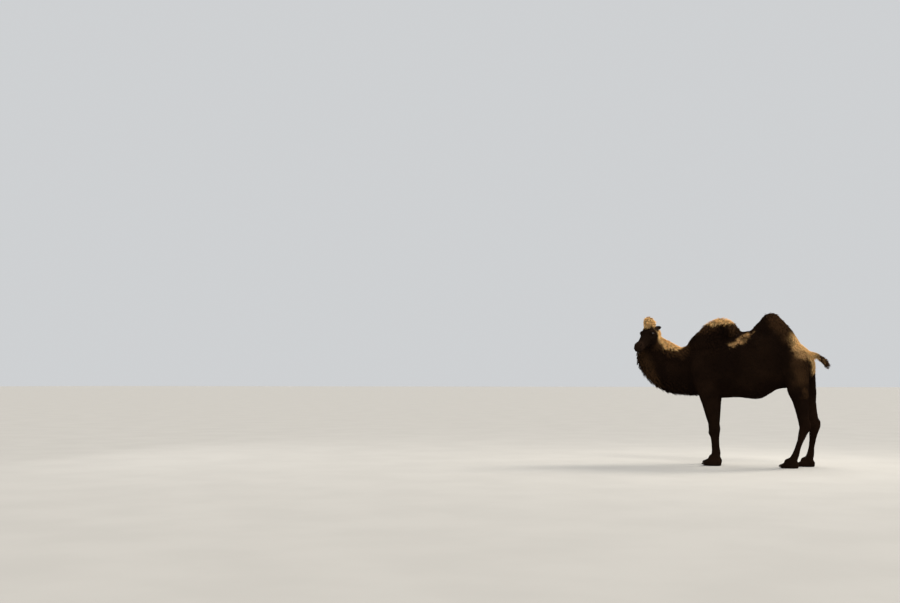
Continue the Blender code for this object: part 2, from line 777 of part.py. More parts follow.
def build():
    clear_scene()
    whole = whole_body()
    found = parted_head(whole) | parted_feet(whole)
    body = thinned(whole, "body", COARSE)
    remove(whole)
    case = head_cutter()
    minus(body, grown(case), slice_of_height(-0.2, FOOT_CUT_HEIGHT + GAP / 2))
    remove(case)
    found |= parted_legs(body)
    found |= parted_trunk(body)
    for leg in LEGS:
        outward = SIDES[leg.split("_")[1]]
        for toe, side in (("outer", outward), ("inner", -outward)):
            nail = toenail(f"toenail_{leg}_{toe}", joint_places(leg)["foot"], leg, side)
            nested(found[f"{leg}_foot"], nail)
            found[nail.name] = nail
    move_to_origin(found)
    finish(found)


build()
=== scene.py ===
import math

import bpy
import numpy as np
from mathutils import Matrix, Vector
from mathutils.bvhtree import BVHTree
from mathutils.kdtree import KDTree


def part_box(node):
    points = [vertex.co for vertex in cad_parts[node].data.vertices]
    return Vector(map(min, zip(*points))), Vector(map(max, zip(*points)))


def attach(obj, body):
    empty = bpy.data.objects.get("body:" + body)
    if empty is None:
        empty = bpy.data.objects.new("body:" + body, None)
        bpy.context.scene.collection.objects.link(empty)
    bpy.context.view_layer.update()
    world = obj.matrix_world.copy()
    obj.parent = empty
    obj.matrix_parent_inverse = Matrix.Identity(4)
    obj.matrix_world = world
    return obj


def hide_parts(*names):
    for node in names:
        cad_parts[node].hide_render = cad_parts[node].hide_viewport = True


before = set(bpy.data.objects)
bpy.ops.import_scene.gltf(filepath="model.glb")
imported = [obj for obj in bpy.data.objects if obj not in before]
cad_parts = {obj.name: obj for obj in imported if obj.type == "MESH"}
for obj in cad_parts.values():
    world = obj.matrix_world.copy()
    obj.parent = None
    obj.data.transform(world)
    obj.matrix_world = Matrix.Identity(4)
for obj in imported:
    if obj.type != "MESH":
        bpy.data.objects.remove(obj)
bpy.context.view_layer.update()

# the middle of the animal from side to side, and the head's own axes:
# x to the animal's left, -y along the face to the muzzle, z up
sides = {"left": 1, "right": -1}
middleX = sum(corner.x for name in ("fore_left_foot", "fore_right_foot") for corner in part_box(name)) / 4
headPose = {"turn": 76, "drop": 29, "roll": -3, "eyes": (0, -0.165, -0.050)}


def nodeMiddle(name):
    low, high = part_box(name)
    return (Vector(low) + Vector(high)) / 2


def headAxes():
    turn = Matrix.Rotation(math.radians(headPose["turn"]), 4, "Z")
    drop = Matrix.Rotation(math.radians(headPose["drop"]), 4, "X")
    roll = Matrix.Rotation(math.radians(headPose["roll"]), 4, "Y")
    turned = turn @ drop @ roll
    betweenEyes = (nodeMiddle("eye_left") + nodeMiddle("eye_right")) / 2
    return Matrix.Translation(betweenEyes - turned @ Vector(headPose["eyes"])) @ turned


headMatrix = headAxes()
headForward = np.array(headMatrix)
headInverse = np.array(headMatrix.inverted())


def toHead(points):
    return points @ headInverse[:3, :3].T + headInverse[:3, 3]


def fromHead(points):
    return points @ headForward[:3, :3].T + headForward[:3, 3]


def turnFromHead(vectors):
    return vectors @ headForward[:3, :3].T


def turnToHead(vectors):
    return vectors @ headInverse[:3, :3].T


# small sums on arrays of points
def dots(a, b):
    return np.sum(a * b, axis=-1)


def unit(vectors):
    return vectors / np.maximum(np.linalg.norm(vectors, axis=-1, keepdims=True), 1e-9)


def smoothStep(low, high, value):
    t = np.clip((value - low) / (high - low), 0, 1)
    return t * t * (3 - 2 * t)


def hill(distance, width):
    return np.exp(-((distance / width) ** 2))


def onOneSide(q):
    # the same points with both sides of the head laid on its left
    return np.abs(q) * (1, 0, 0) + q * (0, 1, 1)


def lineGap(q, name):
    # distance of each point from one of the face's lines
    return farFromLine(q, face[name])[0]


def farFromLine(points, line):
    # how far each point is from a line of straight lengths, and the nearest place's share along it
    line = np.array(line, float)
    nearest = np.full(len(points), 1e9)
    along = np.zeros(len(points))
    for index, (start, end) in enumerate(zip(line, line[1:])):
        span = end - start
        share = np.clip((points - start) @ span / (span @ span), 0, 1)
        distance = np.linalg.norm(points - start - share[:, None] * span, axis=1)
        closer = distance < nearest
        nearest = np.where(closer, distance, nearest)
        along = np.where(closer, (index + share) / (len(line) - 1), along)
    return nearest, along


def placed(name, data):
    made = bpy.data.objects.new(name, data)
    bpy.context.scene.collection.objects.link(made)
    return made


def deselect():
    if bpy.context.object and bpy.context.object.mode != "OBJECT":
        bpy.ops.object.mode_set(mode="OBJECT")
    bpy.ops.object.select_all(action="DESELECT")


def activate(obj):
    deselect()
    obj.select_set(True)
    bpy.context.view_layer.objects.active = obj


def applied(obj, kind, **settings):
    activate(obj)
    modifier = obj.modifiers.new(kind.title(), kind)
    for key, value in settings.items():
        setattr(modifier, key, value)
    bpy.ops.object.modifier_apply(modifier=modifier.name)


def readNumbers(items, what, width=1, kind=np.float32):
    flat = np.empty(len(items) * width, kind)
    items.foreach_get(what, flat)
    return flat.reshape(-1, width) if width > 1 else flat


def readPoints(mesh, what="co"):
    return readNumbers(mesh.vertices, what, 3).astype(float)


def writePoints(mesh, points):
    mesh.vertices.foreach_set("co", points.astype(np.float32).ravel())
    mesh.update()


# lie, length and depth of the coat
# Each row is a place on the animal, x from its middle (both sides alike unless told), the way the hair lies
# there, its length, how deep the skin is under the tips, how far it stands out and how curly it is, 0 to 1.
bodyCoat = {
    "withers": ((0.12, -0.42, 1.66), (0.3, 0.5, -0.8), 0.034, 0.016, 0.35, 0.3),
    "shoulder": ((0.24, -0.37, 1.32), (0.05, 0.30, -1.0), 0.026, 0.012, 0.25, 0.1),
    "shoulderLow": ((0.26, -0.30, 1.08), (0.0, 0.35, -1.0), 0.026, 0.012, 0.25, 0.1),
    "ribsFront": ((0.33, -0.08, 1.30), (0.0, 0.8, -0.6), 0.028, 0.013, 0.25, 0.1),
    "ribsMiddle": ((0.36, 0.25, 1.25), (0.0, 0.9, -0.45), 0.028, 0.013, 0.25, 0.1),
    "ribsHigh": ((0.26, 0.10, 1.60), (0.2, 0.6, -0.8), 0.032, 0.016, 0.3, 0.3),
    "flank": ((0.33, 0.50, 1.25), (0.0, 0.85, -0.55), 0.028, 0.013, 0.25, 0.1),
    "bellySide": ((0.22, 0.15, 0.99), (-0.1, 0.8, -0.55), 0.034, 0.014, 0.3, 0.2),
    "belly": ((0.0, 0.20, 0.90), (0.0, 1.0, -0.25), 0.040, 0.016, 0.35, 0.3),
    "groin": ((0.0, 0.70, 1.02), (0.0, 0.9, -0.3), 0.025, 0.012, 0.25, 0.1),
    "chest": ((0.0, -0.52, 1.00), (0.0, 0.6, -0.8), 0.060, 0.022, 0.45, 0.4),
    "brisket": ((0.0, -0.30, 0.92), (0.0, 0.9, -0.4), 0.045, 0.016, 0.4, 0.3),
    "croup": ((0.12, 0.84, 1.66), (0.3, 0.7, -0.6), 0.045, 0.022, 0.5, 0.6),
    "rump": ((0.14, 1.03, 1.38), (0.05, 0.2, -1.0), 0.045, 0.020, 0.4, 0.5),
    "buttock": ((0.16, 1.06, 1.10), (0.0, 0.1, -1.0), 0.030, 0.014, 0.3, 0.2),
    "hip": ((0.25, 0.84, 1.42), (0.05, 0.35, -0.95), 0.030, 0.014, 0.3, 0.2),
    "thigh": ((0.26, 0.86, 1.12), (0.0, 0.25, -1.0), 0.024, 0.012, 0.25, 0.1),
    "saddle": ((0.0, 0.13, 1.81), (0.5, 0.5, -0.3), 0.045, 0.022, 0.5, 0.7),
    "saddleSide": ((0.17, 0.16, 1.72), (0.3, 0.3, -0.9), 0.050, 0.022, 0.5, 0.7),
    "frontHumpFront": ((0.0, -0.38, 1.80), (0.2, -0.3, -0.8), 0.060, 0.028, 0.5, 0.8),
    "frontHumpSide": ((0.19, -0.12, 1.78), (0.2, 0.1, -1.0), 0.060, 0.028, 0.5, 0.8),
    "frontHumpTop": ((0.02, -0.13, 1.98), (0.6, 0.3, -0.3), 0.060, 0.028, 0.6, 0.9),
    "frontHumpRear": ((0.0, 0.08, 1.88), (0.2, 0.7, -0.7), 0.055, 0.026, 0.5, 0.8),
    "rearHumpTop": ((0.0, 0.53, 2.04), (0.4, 0.2, -0.8), 0.050, 0.024, 0.5, 0.6),
    "rearHumpSide": ((0.15, 0.54, 1.84), (0.1, 0.15, -1.0), 0.038, 0.020, 0.4, 0.4),
    "rearHumpFront": ((0.0, 0.33, 1.90), (0.3, -0.2, -0.9), 0.045, 0.022, 0.4, 0.5),
    "rearHumpRear": ((0.0, 0.74, 1.84), (0.2, 0.6, -0.8), 0.045, 0.022, 0.45, 0.5),
    "rearHumpBase": ((0.27, 0.52, 1.62), (0.1, 0.45, -0.9), 0.030, 0.015, 0.3, 0.2),
    "neckRootSide": ((0.19, -0.62, 1.30), (0.0, 0.6, -0.8), 0.030, 0.015, 0.3, 0.2),
    "forearm": ((0.25, -0.24, 0.80), (0.0, 0.15, -1.0), 0.020, 0.009, 0.25, 0.1),
    "forearmInner": ((0.10, -0.24, 0.80), (0.0, 0.15, -1.0), 0.018, 0.009, 0.25, 0.1),
    "elbow": ((0.20, -0.12, 0.98), (0.0, 0.3, -1.0), 0.030, 0.010, 0.4, 0.2),
    "knee": ((0.19, -0.22, 0.47), (0.0, 0.05, -1.0), 0.012, 0.006, 0.25, 0.0),
    "foreCannon": ((0.19, -0.19, 0.30), (0.0, 0.1, -1.0), 0.012, 0.005, 0.25, 0.0),
    "foreFetlock": ((0.19, -0.20, 0.15), (0.0, 0.1, -1.0), 0.015, 0.006, 0.3, 0.1),
    "foreFoot": ((0.19, -0.25, 0.07), (0.0, -0.6, -0.7), 0.009, 0.003, 0.25, 0.0),
    "stifle": ((0.27, 0.84, 0.98), (0.0, 0.3, -1.0), 0.024, 0.011, 0.3, 0.2),
    "gaskin": ((0.22, 0.94, 0.78), (0.0, 0.2, -1.0), 0.018, 0.008, 0.25, 0.1),
    "hock": ((0.18, 0.99, 0.54), (0.0, 0.05, -1.0), 0.012, 0.006, 0.25, 0.0),
    "hindCannon": ((0.18, 0.92, 0.32), (0.0, -0.3, -1.0), 0.012, 0.005, 0.25, 0.0),
    "hindFetlock": ((0.185, 0.87, 0.155), (0.0, -0.1, -1.0), 0.015, 0.006, 0.3, 0.1),
    "hindFoot": ((0.19, 0.83, 0.07), (0.0, -0.6, -0.7), 0.009, 0.003, 0.25, 0.0),
}
# the same for what leans to one side: x is not mirrored
leaningCoat = {
    "nape1": ((0.105, -1.00, 1.82), (0.2, 0.7, -0.6), 0.055, 0.030, 0.50, 0.5),
    "nape2": ((0.055, -0.93, 1.76), (0.0, 0.7, -0.6), 0.065, 0.032, 0.50, 0.5),
    "nape3": ((0.020, -0.86, 1.70), (0.0, 0.8, -0.5), 0.068, 0.032, 0.50, 0.5),
    "nape4": ((0.010, -0.77, 1.65), (0.0, 0.9, -0.4), 0.062, 0.030, 0.45, 0.5),
    "nape5": ((0.0, -0.68, 1.61), (0.0, 0.9, -0.2), 0.055, 0.028, 0.45, 0.5),
    "nape6": ((0.0, -0.57, 1.62), (0.0, 0.9, -0.1), 0.045, 0.022, 0.40, 0.5),
    "maneLeft": ((0.125, -0.84, 1.60), (0.3, 0.35, -1.0), 0.065, 0.028, 0.45, 0.5),
    "maneRight": ((-0.105, -0.84, 1.60), (-0.3, 0.35, -1.0), 0.065, 0.028, 0.45, 0.5),
    "neckLeft1": ((0.200, -1.10, 1.66), (0.2, 0.2, -1.0), 0.030, 0.016, 0.35, 0.3),
    "neckRight1": ((-0.015, -1.10, 1.66), (-0.2, 0.2, -1.0), 0.030, 0.016, 0.35, 0.3),
    "neckLeft2": ((0.155, -1.10, 1.48), (0.1, 0.35, -1.0), 0.028, 0.014, 0.3, 0.2),
    "neckRight2": ((-0.085, -1.10, 1.48), (-0.1, 0.35, -1.0), 0.028, 0.014, 0.3, 0.2),
    "neckLeft3": ((0.150, -0.96, 1.35), (0.1, 0.6, -0.9), 0.028, 0.014, 0.3, 0.2),
    "neckRight3": ((-0.130, -0.96, 1.35), (-0.1, 0.6, -0.9), 0.028, 0.014, 0.3, 0.2),
    "throat1": ((0.095, -1.24, 1.58), (0.0, 0.2, -1.0), 0.060, 0.026, 0.5, 0.5),
    "throat2": ((0.055, -1.28, 1.40), (0.0, 0.3, -1.0), 0.070, 0.028, 0.5, 0.6),
    "throat3": ((0.025, -1.20, 1.25), (0.0, 0.45, -0.9), 0.075, 0.028, 0.5, 0.6),
    "throat4": ((0.010, -1.08, 1.11), (0.0, 0.6, -0.8), 0.075, 0.028, 0.5, 0.6),
    "throat5": ((0.0, -0.88, 0.99), (0.0, 0.8, -0.6), 0.070, 0.026, 0.5, 0.5),
    "tailRoot": ((0.02, 1.06, 1.48), (0.10, 0.9, -0.4), 0.040, 0.016, 0.35, 0.3),
    "tailMiddle": ((0.11, 1.21, 1.39), (0.5, 0.7, -0.6), 0.050, 0.018, 0.35, 0.3),
    "tailTip": ((0.17, 1.27, 1.32), (0.5, 0.6, -0.7), 0.055, 0.016, 0.35, 0.2),
}
# the same in the head's own axes, both sides alike
headCoat = {
    "noseTip": ((0.0, -0.50, -0.085), (0.1, 0.5, 0.9), 0.004, 0.002, 0.2, 0.0),
    "muzzleTop": ((0.03, -0.44, -0.045), (0.1, 1.0, 0.1), 0.007, 0.003, 0.2, 0.0),
    "noseBridge": ((0.0, -0.33, -0.028), (0.1, 1.0, 0.05), 0.009, 0.004, 0.2, 0.0),
    "noseSide": ((0.06, -0.32, -0.07), (0.0, 1.0, -0.1), 0.009, 0.004, 0.2, 0.0),
    "forehead": ((0.0, -0.20, 0.010), (0.2, 1.0, 0.1), 0.018, 0.007, 0.3, 0.3),
    "brow": ((0.080, -0.16, -0.005), (0.6, 0.8, 0.1), 0.010, 0.004, 0.25, 0.0),
    "underEye": ((0.092, -0.18, -0.085), (0.1, 1.0, -0.3), 0.010, 0.004, 0.2, 0.0),
    "temple": ((0.095, -0.09, -0.03), (0.1, 1.0, -0.3), 0.016, 0.007, 0.25, 0.1),
    "cheek": ((0.098, -0.06, -0.13), (0.0, 0.8, -0.6), 0.024, 0.010, 0.3, 0.2),
    "lipSide": ((0.055, -0.44, -0.12), (0.0, 1.0, -0.2), 0.007, 0.003, 0.2, 0.0),
    "lip": ((0.02, -0.50, -0.12), (0.3, 0.3, -0.8), 0.006, 0.002, 0.2, 0.0),
    "chin": ((0.0, -0.46, -0.18), (0.0, 0.8, -0.5), 0.014, 0.004, 0.3, 0.1),
    "jaw": ((0.045, -0.30, -0.17), (0.0, 0.9, -0.4), 0.016, 0.006, 0.3, 0.1),
    "jawBack": ((0.05, -0.14, -0.22), (0.0, 0.7, -0.8), 0.035, 0.014, 0.45, 0.4),
    "throatLatch": ((0.04, -0.01, -0.24), (0.0, 0.3, -1.0), 0.045, 0.018, 0.5, 0.5),
    "behindCheek": ((0.095, 0.03, -0.12), (0.1, 0.5, -0.9), 0.036, 0.014, 0.4, 0.5),
    "occiput": ((0.03, 0.05, -0.02), (0.2, 0.8, -0.6), 0.055, 0.024, 0.5, 0.8),
    "crownFront": ((0.0, -0.125, 0.05), (0.0, -0.8, -0.5), 0.055, 0.030, 0.45, 0.50),
    "crownSide": ((0.085, -0.03, 0.06), (0.8, -0.1, -0.7), 0.055, 0.030, 0.45, 0.50),
    "crownTop": ((0.0, -0.03, 0.145), (0.1, -0.7, 0.1), 0.048, 0.032, 0.42, 0.50),
    "crownBack": ((0.0, 0.055, 0.06), (0.0, 0.8, -0.6), 0.055, 0.030, 0.45, 0.50),
    "earBack": ((0.075, 0.012, -0.055), (0.60, 0.76, -0.10), 0.011, 0.003, 0.22, 0.0),
    "earTip": ((0.115, 0.045, -0.056), (0.60, 0.76, -0.10), 0.012, 0.002, 0.22, 0.0),
    "earFront": ((0.090, 0.000, -0.045), (0.60, 0.76, -0.10), 0.009, 0.002, 0.20, 0.0),
}


def coatRows():
    rows = []
    for table, kind in ((bodyCoat, "mirrored"), (leaningCoat, "one"), (headCoat, "head")):
        for place, lie, length, depth, stand, curl in table.values():
            for side in (1, -1) if kind != "one" and place[0] > 0 else (1,):
                at = np.array(place) * (side, 1, 1)
                way = np.array(lie) * (side if place[0] > 0 else 1 if kind == "one" else 0, 1, 1)
                if kind == "head":
                    at, way = fromHead(at[None])[0], turnFromHead(way[None])[0]
                else:
                    at = at + (middleX, 0, 0)
                rows.append((*at, *unit(way), length, depth * 0.66, stand, curl))
    return np.array(rows)


coatTable = coatRows()


def woolShare(length):
    # 0 on short flat hair, 1 on long wool
    return smoothStep(0.020, 0.050, length)


def coatAt(points):
    # lie (3), length, depth, stand and curl at each point, blended from the rows of the table nearest to it
    found = np.empty((len(points), 7))
    for start in range(0, len(points), 20000):
        chunk = points[start : start + 20000]
        squared = ((chunk[:, None, :] - coatTable[None, :, :3]) ** 2).sum(axis=2)
        weight = 1 / (squared + 0.0004) ** 2
        weight /= weight.sum(axis=1, keepdims=True)
        found[start : start + 20000] = weight @ coatTable[:, 3:]
    return found


# skin
skinSettings = {
    "grow": 0.0011,  # each solid grows this much, so that they join over the thin cuts
    "voxel": 0.0075,
    "bodyFaces": 66000,
    "bodySmooth": 40,
    "headSmooth": 5,
    "fineReach": (0.013, 0.008),  # how near the lines of the face the mesh is halved, and halved again
    "refits": (14, 8),
    "refitMost": (-0.02, 0.05),
}


def joinedFlesh():
    # the eyes and toenails are in it too, so that the skin closes behind them
    made = []
    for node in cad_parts.values():
        copy = placed("part", node.data.copy())
        activate(copy)
        bpy.ops.object.mode_set(mode="EDIT")
        bpy.ops.mesh.select_all(action="SELECT")
        bpy.ops.mesh.remove_doubles(threshold=0.00001)
        bpy.ops.mesh.normals_make_consistent(inside=False)
        bpy.ops.object.mode_set(mode="OBJECT")
        applied(copy, "DISPLACE", strength=skinSettings["grow"], mid_level=0)
        made.append(copy)
    deselect()
    for copy in made:
        copy.select_set(True)
    bpy.context.view_layer.objects.active = made[0]
    bpy.ops.object.join()
    skin = bpy.context.object
    skin.name = skin.data.name = "skin"
    skin.data.materials.clear()
    return skin


def selectVertices(obj, wanted):
    # leaves edit mode on, with the faces between the wanted vertices selected
    activate(obj)
    mesh = obj.data
    corners = readNumbers(mesh.loops, "vertex_index", 1, np.int32)
    sizes = readNumbers(mesh.polygons, "loop_total", 1, np.int32)
    starts = np.concatenate(([0], np.cumsum(sizes)[:-1]))
    chosen = np.minimum.reduceat(wanted[corners].astype(np.int8), starts).astype(bool)
    bpy.ops.object.mode_set(mode="EDIT")
    bpy.ops.mesh.select_mode(type="FACE")
    bpy.ops.mesh.select_all(action="DESELECT")
    bpy.ops.object.mode_set(mode="OBJECT")
    mesh.polygons.foreach_set("select", chosen)
    bpy.ops.object.mode_set(mode="EDIT")


def subdivided(obj, wanted, cuts=1):
    selectVertices(obj, wanted)
    bpy.ops.mesh.subdivide(number_cuts=cuts, smoothness=0)
    bpy.ops.object.mode_set(mode="OBJECT")


def smoothed(obj, weights, repeat):
    # a smooth modifier whose strength at each vertex is the weight given
    group = obj.vertex_groups.new(name="soft")
    levels = np.round(np.clip(weights, 0, 1) * 4).astype(int)
    for level in range(1, 5):
        group.add(np.flatnonzero(levels == level).tolist(), level / 4, "REPLACE")
    applied(obj, "SMOOTH", factor=0.5, iterations=repeat, vertex_group="soft")
    obj.vertex_groups.clear()


def headWeight(points):
    # 1 on the head and its ears, 0 on the neck
    q = toHead(points)
    behind = smoothStep(0.10, 0.04, q[:, 1]) * smoothStep(-0.33, -0.27, q[:, 2])
    near = smoothStep(0.66, 0.60, np.linalg.norm(q, axis=1))
    return behind * near


# the face: places in the head's own axes, on the left side
face = {
    "eye": (0.0765, -0.165, -0.050),
    "eyeRadius": 0.0245,
    "lookOut": (0.94, -0.30, 0.06),  # the way the eye faces
    "eyeTilt": 14,  # degrees that the front corner of the eye is lower
    "halfWide": 1.06,  # half the opening, as angles at the eye's middle
    "upper": 0.74,
    "lower": 0.60,
    "nostril": [
        (0.033, -0.408, -0.058),
        (0.043, -0.440, -0.064),
        (0.047, -0.468, -0.078),
        (0.041, -0.487, -0.097),
    ],
    "mouth": [
        (0.0, -0.520, -0.130),
        (0.022, -0.512, -0.137),
        (0.044, -0.480, -0.141),
        (0.057, -0.430, -0.146),
        (0.062, -0.370, -0.148),
        (0.066, -0.315, -0.138),
    ],
    "split": [(0.0, -0.515, -0.078), (0.0, -0.525, -0.100), (0.0, -0.522, -0.130)],
    "earRoot": (0.054, -0.032, -0.046),
    "earOut": (0.60, 0.76, -0.10),
    "earForward": (0.79, -0.51, 0.30),
    "earLength": 0.102,
}
earShape = {"halfWide": 0.038, "hollow": 0.024, "rim": 0.006}
lidShape = {"gap": 0.0004, "thick": 0.0022, "fold": 0.0012, "ridge": 0.0008, "ease": 0.006, "sunk": 0.0035}
# how deep the lines of the face are cut and how far the lips swell beside them
faceCuts = {
    "nostril": 0.0190,
    "nostrilWidths": (0.0032, 0.0034),  # at its ends, and how much wider in the middle
    "mouth": 0.0095,
    "mouthLevel": ([0.31, 0.37, 0.43, 0.52], [-0.139, -0.148, -0.146, -0.131]),  # its height along the face
    "upperLip": 0.0050,
    "lowerLip": 0.0020,
    "split": 0.0075,
}
# place, reach and height of each ridge or hollow
faceLumps = {
    "hollowBehindEye": ((0.075, -0.115, -0.005), (0.03, 0.035, 0.025), -0.006),
    "brow": ((0.085, -0.185, -0.010), (0.03, 0.035, 0.014), 0.004),
    "hollowBeforeEye": ((0.062, -0.300, -0.075), (0.03, 0.06, 0.030), -0.005),
    "crest": ((0.072, -0.215, -0.105), (0.03, 0.07, 0.014), 0.004),
    "hollowBeforeCheek": ((0.060, -0.255, -0.150), (0.03, 0.06, 0.030), -0.005),
    "cheekMuscle": ((0.090, -0.075, -0.140), (0.04, 0.055, 0.060), 0.004),
    "chin": ((0.0, -0.470, -0.182), (0.024, 0.026, 0.02), 0.004),
}


def eyeAxes(side):
    # the eye's middle, and the ways out of it, towards its front corner and up, in the head's axes
    middle = np.array(face["eye"]) * (side, 1, 1)
    out = unit(np.array(face["lookOut"]) * (side, 1, 1))
    up = unit(np.array([0.0, 0.0, 1.0]) - out * out[2])
    front = np.cross(up, out) * side
    front = front if front[1] < 0 else -front
    level, tipped = math.cos(math.radians(face["eyeTilt"])), math.sin(math.radians(face["eyeTilt"]))
    return middle, out, front * level - up * tipped, up * level + front * tipped


def eyeAngles(q, side):
    # for points in the head's axes: how far they are from the eye's middle, and outside its opening
    middle, out, front, up = eyeAxes(side)
    away = q - middle
    far = np.linalg.norm(away, axis=1)
    ray = away / np.maximum(far, 1e-9)[:, None]
    toOut = ray @ out
    across = np.arctan2(ray @ front, np.maximum(toOut, 0.05))
    height = np.arctan2(ray @ up, np.maximum(toOut, 0.05))
    reach = np.where(height > 0, face["upper"], face["lower"])
    almond = np.abs(height) / reach + (across / face["halfWide"]) ** 2
    return far, toOut, (almond - 1) * reach * face["eyeRadius"], ray, height


def earSpace(q, side):
    # share of the ear's length, place across it and place from back to front, for points in the head's axes
    out = unit(np.array(face["earOut"]) * (side, 1, 1))
    across = unit(np.cross(out, np.array(face["earForward"]) * (side, 1, 1)))
    front = np.cross(across, out)
    away = q - np.array(face["earRoot"]) * (side, 1, 1)
    return away @ out / face["earLength"], away @ across, away @ front, front


def shapeEars(q):
    # hollows the front of each ear and folds its rim forward
    for side in (1, -1):
        share, across, depth, front = earSpace(q, side)
        inside = (share > -0.1) & (share < 1.15) & (np.abs(across) < 0.055) & (np.abs(depth) < 0.05)
        half = earShape["halfWide"] * np.sqrt(np.clip(1 - ((share - 0.5) / 0.62) ** 2, 0, 1)) + 0.002
        hollow = np.clip(1 - (across / half) ** 2, 0, 1) * smoothStep(0.12, 0.34, share)
        hollow = hollow * smoothStep(1.0, 0.86, share) * smoothStep(-0.002, 0.006, depth)
        push = -earShape["hollow"] * hollow * inside
        rim = earShape["rim"] * smoothStep(0.7, 1.0, np.abs(across) / half)
        rim = rim * inside * smoothStep(0.1, 0.4, share)
        q = q + (push + rim)[:, None] * front
    return q


def shapeEyes(q):
    # sinks the socket, then lays an upper and a lower lid over the eyeball
    for side in (1, -1):
        far, toOut, margin, ray, height = eyeAngles(q, side)
        radius = face["eyeRadius"]
        lid = radius + lidShape["gap"] + lidShape["thick"] * smoothStep(0.0, 0.0014, margin)
        lid = lid - lidShape["fold"] * hill(margin - 0.0062, 0.0016)
        lid = lid + lidShape["ridge"] * hill(margin - 0.0032, 0.0016) * (height > 0)
        share = np.clip(0.5 + 0.5 * (lid - far) / lidShape["ease"], 0, 1)
        eased = far + (lid - far) * share + lidShape["ease"] * share * (1 - share)
        lid = lid + (eased - lid) * smoothStep(0.002, 0.009, margin)
        lid = np.where(margin < 0, radius - lidShape["sunk"] - 0.002 * smoothStep(0, -0.004, margin), lid)
        blend = smoothStep(0.034, 0.020, margin) * smoothStep(0.0, 0.15, toOut) * (far < 0.06)
        middle = np.array(face["eye"]) * (side, 1, 1)
        q = q + (middle + ray * lid[:, None] - q) * blend[:, None]
    return q


def shapeFace(q, normals):
    # nostrils, mouth, the split of the upper lip, hollows and ridges: moved along the normals
    mirrored = onOneSide(q)
    nostril, alongNostril = farFromLine(mirrored, face["nostril"])
    thin, wide = faceCuts["nostrilWidths"]
    widthHere = thin + wide * np.sin(np.pi * np.clip(alongNostril, 0, 1))
    move = -faceCuts["nostril"] * hill(nostril, widthHere) + 0.0052 * hill(nostril - 0.0115, 0.0060)
    mouth = lineGap(mirrored, "mouth")
    below = mirrored[:, 2] < np.interp(-mirrored[:, 1], *faceCuts["mouthLevel"])
    swell = np.where(below, faceCuts["lowerLip"], faceCuts["upperLip"])
    move += -faceCuts["mouth"] * hill(mouth, 0.0030) + swell * hill(mouth - 0.0090, 0.0062)
    split = lineGap(q, "split")
    move += -faceCuts["split"] * hill(split, 0.0030) + 0.0030 * hill(split - 0.009, 0.006)
    for place, width, height in faceLumps.values():
        move += height * hill(np.linalg.norm((mirrored - np.array(place)) / np.array(width), axis=1), 1)
    return q + normals * move[:, None]


def evened(mesh, values, repeat):
    # numbers at the vertices, averaged with their neighbours' again and again
    ends = readNumbers(mesh.edges, "vertices", 2, np.int32)
    count = len(mesh.vertices)
    ties = np.bincount(ends.ravel(), minlength=count)
    for _ in range(repeat):
        around = np.bincount(ends[:, 0], values[ends[:, 1]], count)
        around = around + np.bincount(ends[:, 1], values[ends[:, 0]], count)
        values = 0.5 * values + 0.5 * around / np.maximum(ties, 1)
    return values


def refit(skin, shell):
    # smoothing drew the skin in: moves it until it lies the coat's depth inside the solids
    for repeat in skinSettings["refits"]:
        points, normals = readPoints(skin.data), readPoints(skin.data, "normal")
        gap = np.zeros(len(points))
        for index, point in enumerate(points):
            place, way = shell.find_nearest(tuple(point))[:2]
            gap[index] = (place - Vector(point)).dot(way)
        sole = smoothStep(0.030, 0.004, points[:, 2])
        wanted = coatAt(points)[:, 4] + skinSettings["grow"]
        gap = np.clip(evened(skin.data, (gap - wanted) * (1 - sole), repeat), *skinSettings["refitMost"])
        writePoints(skin.data, points + normals * gap[:, None])


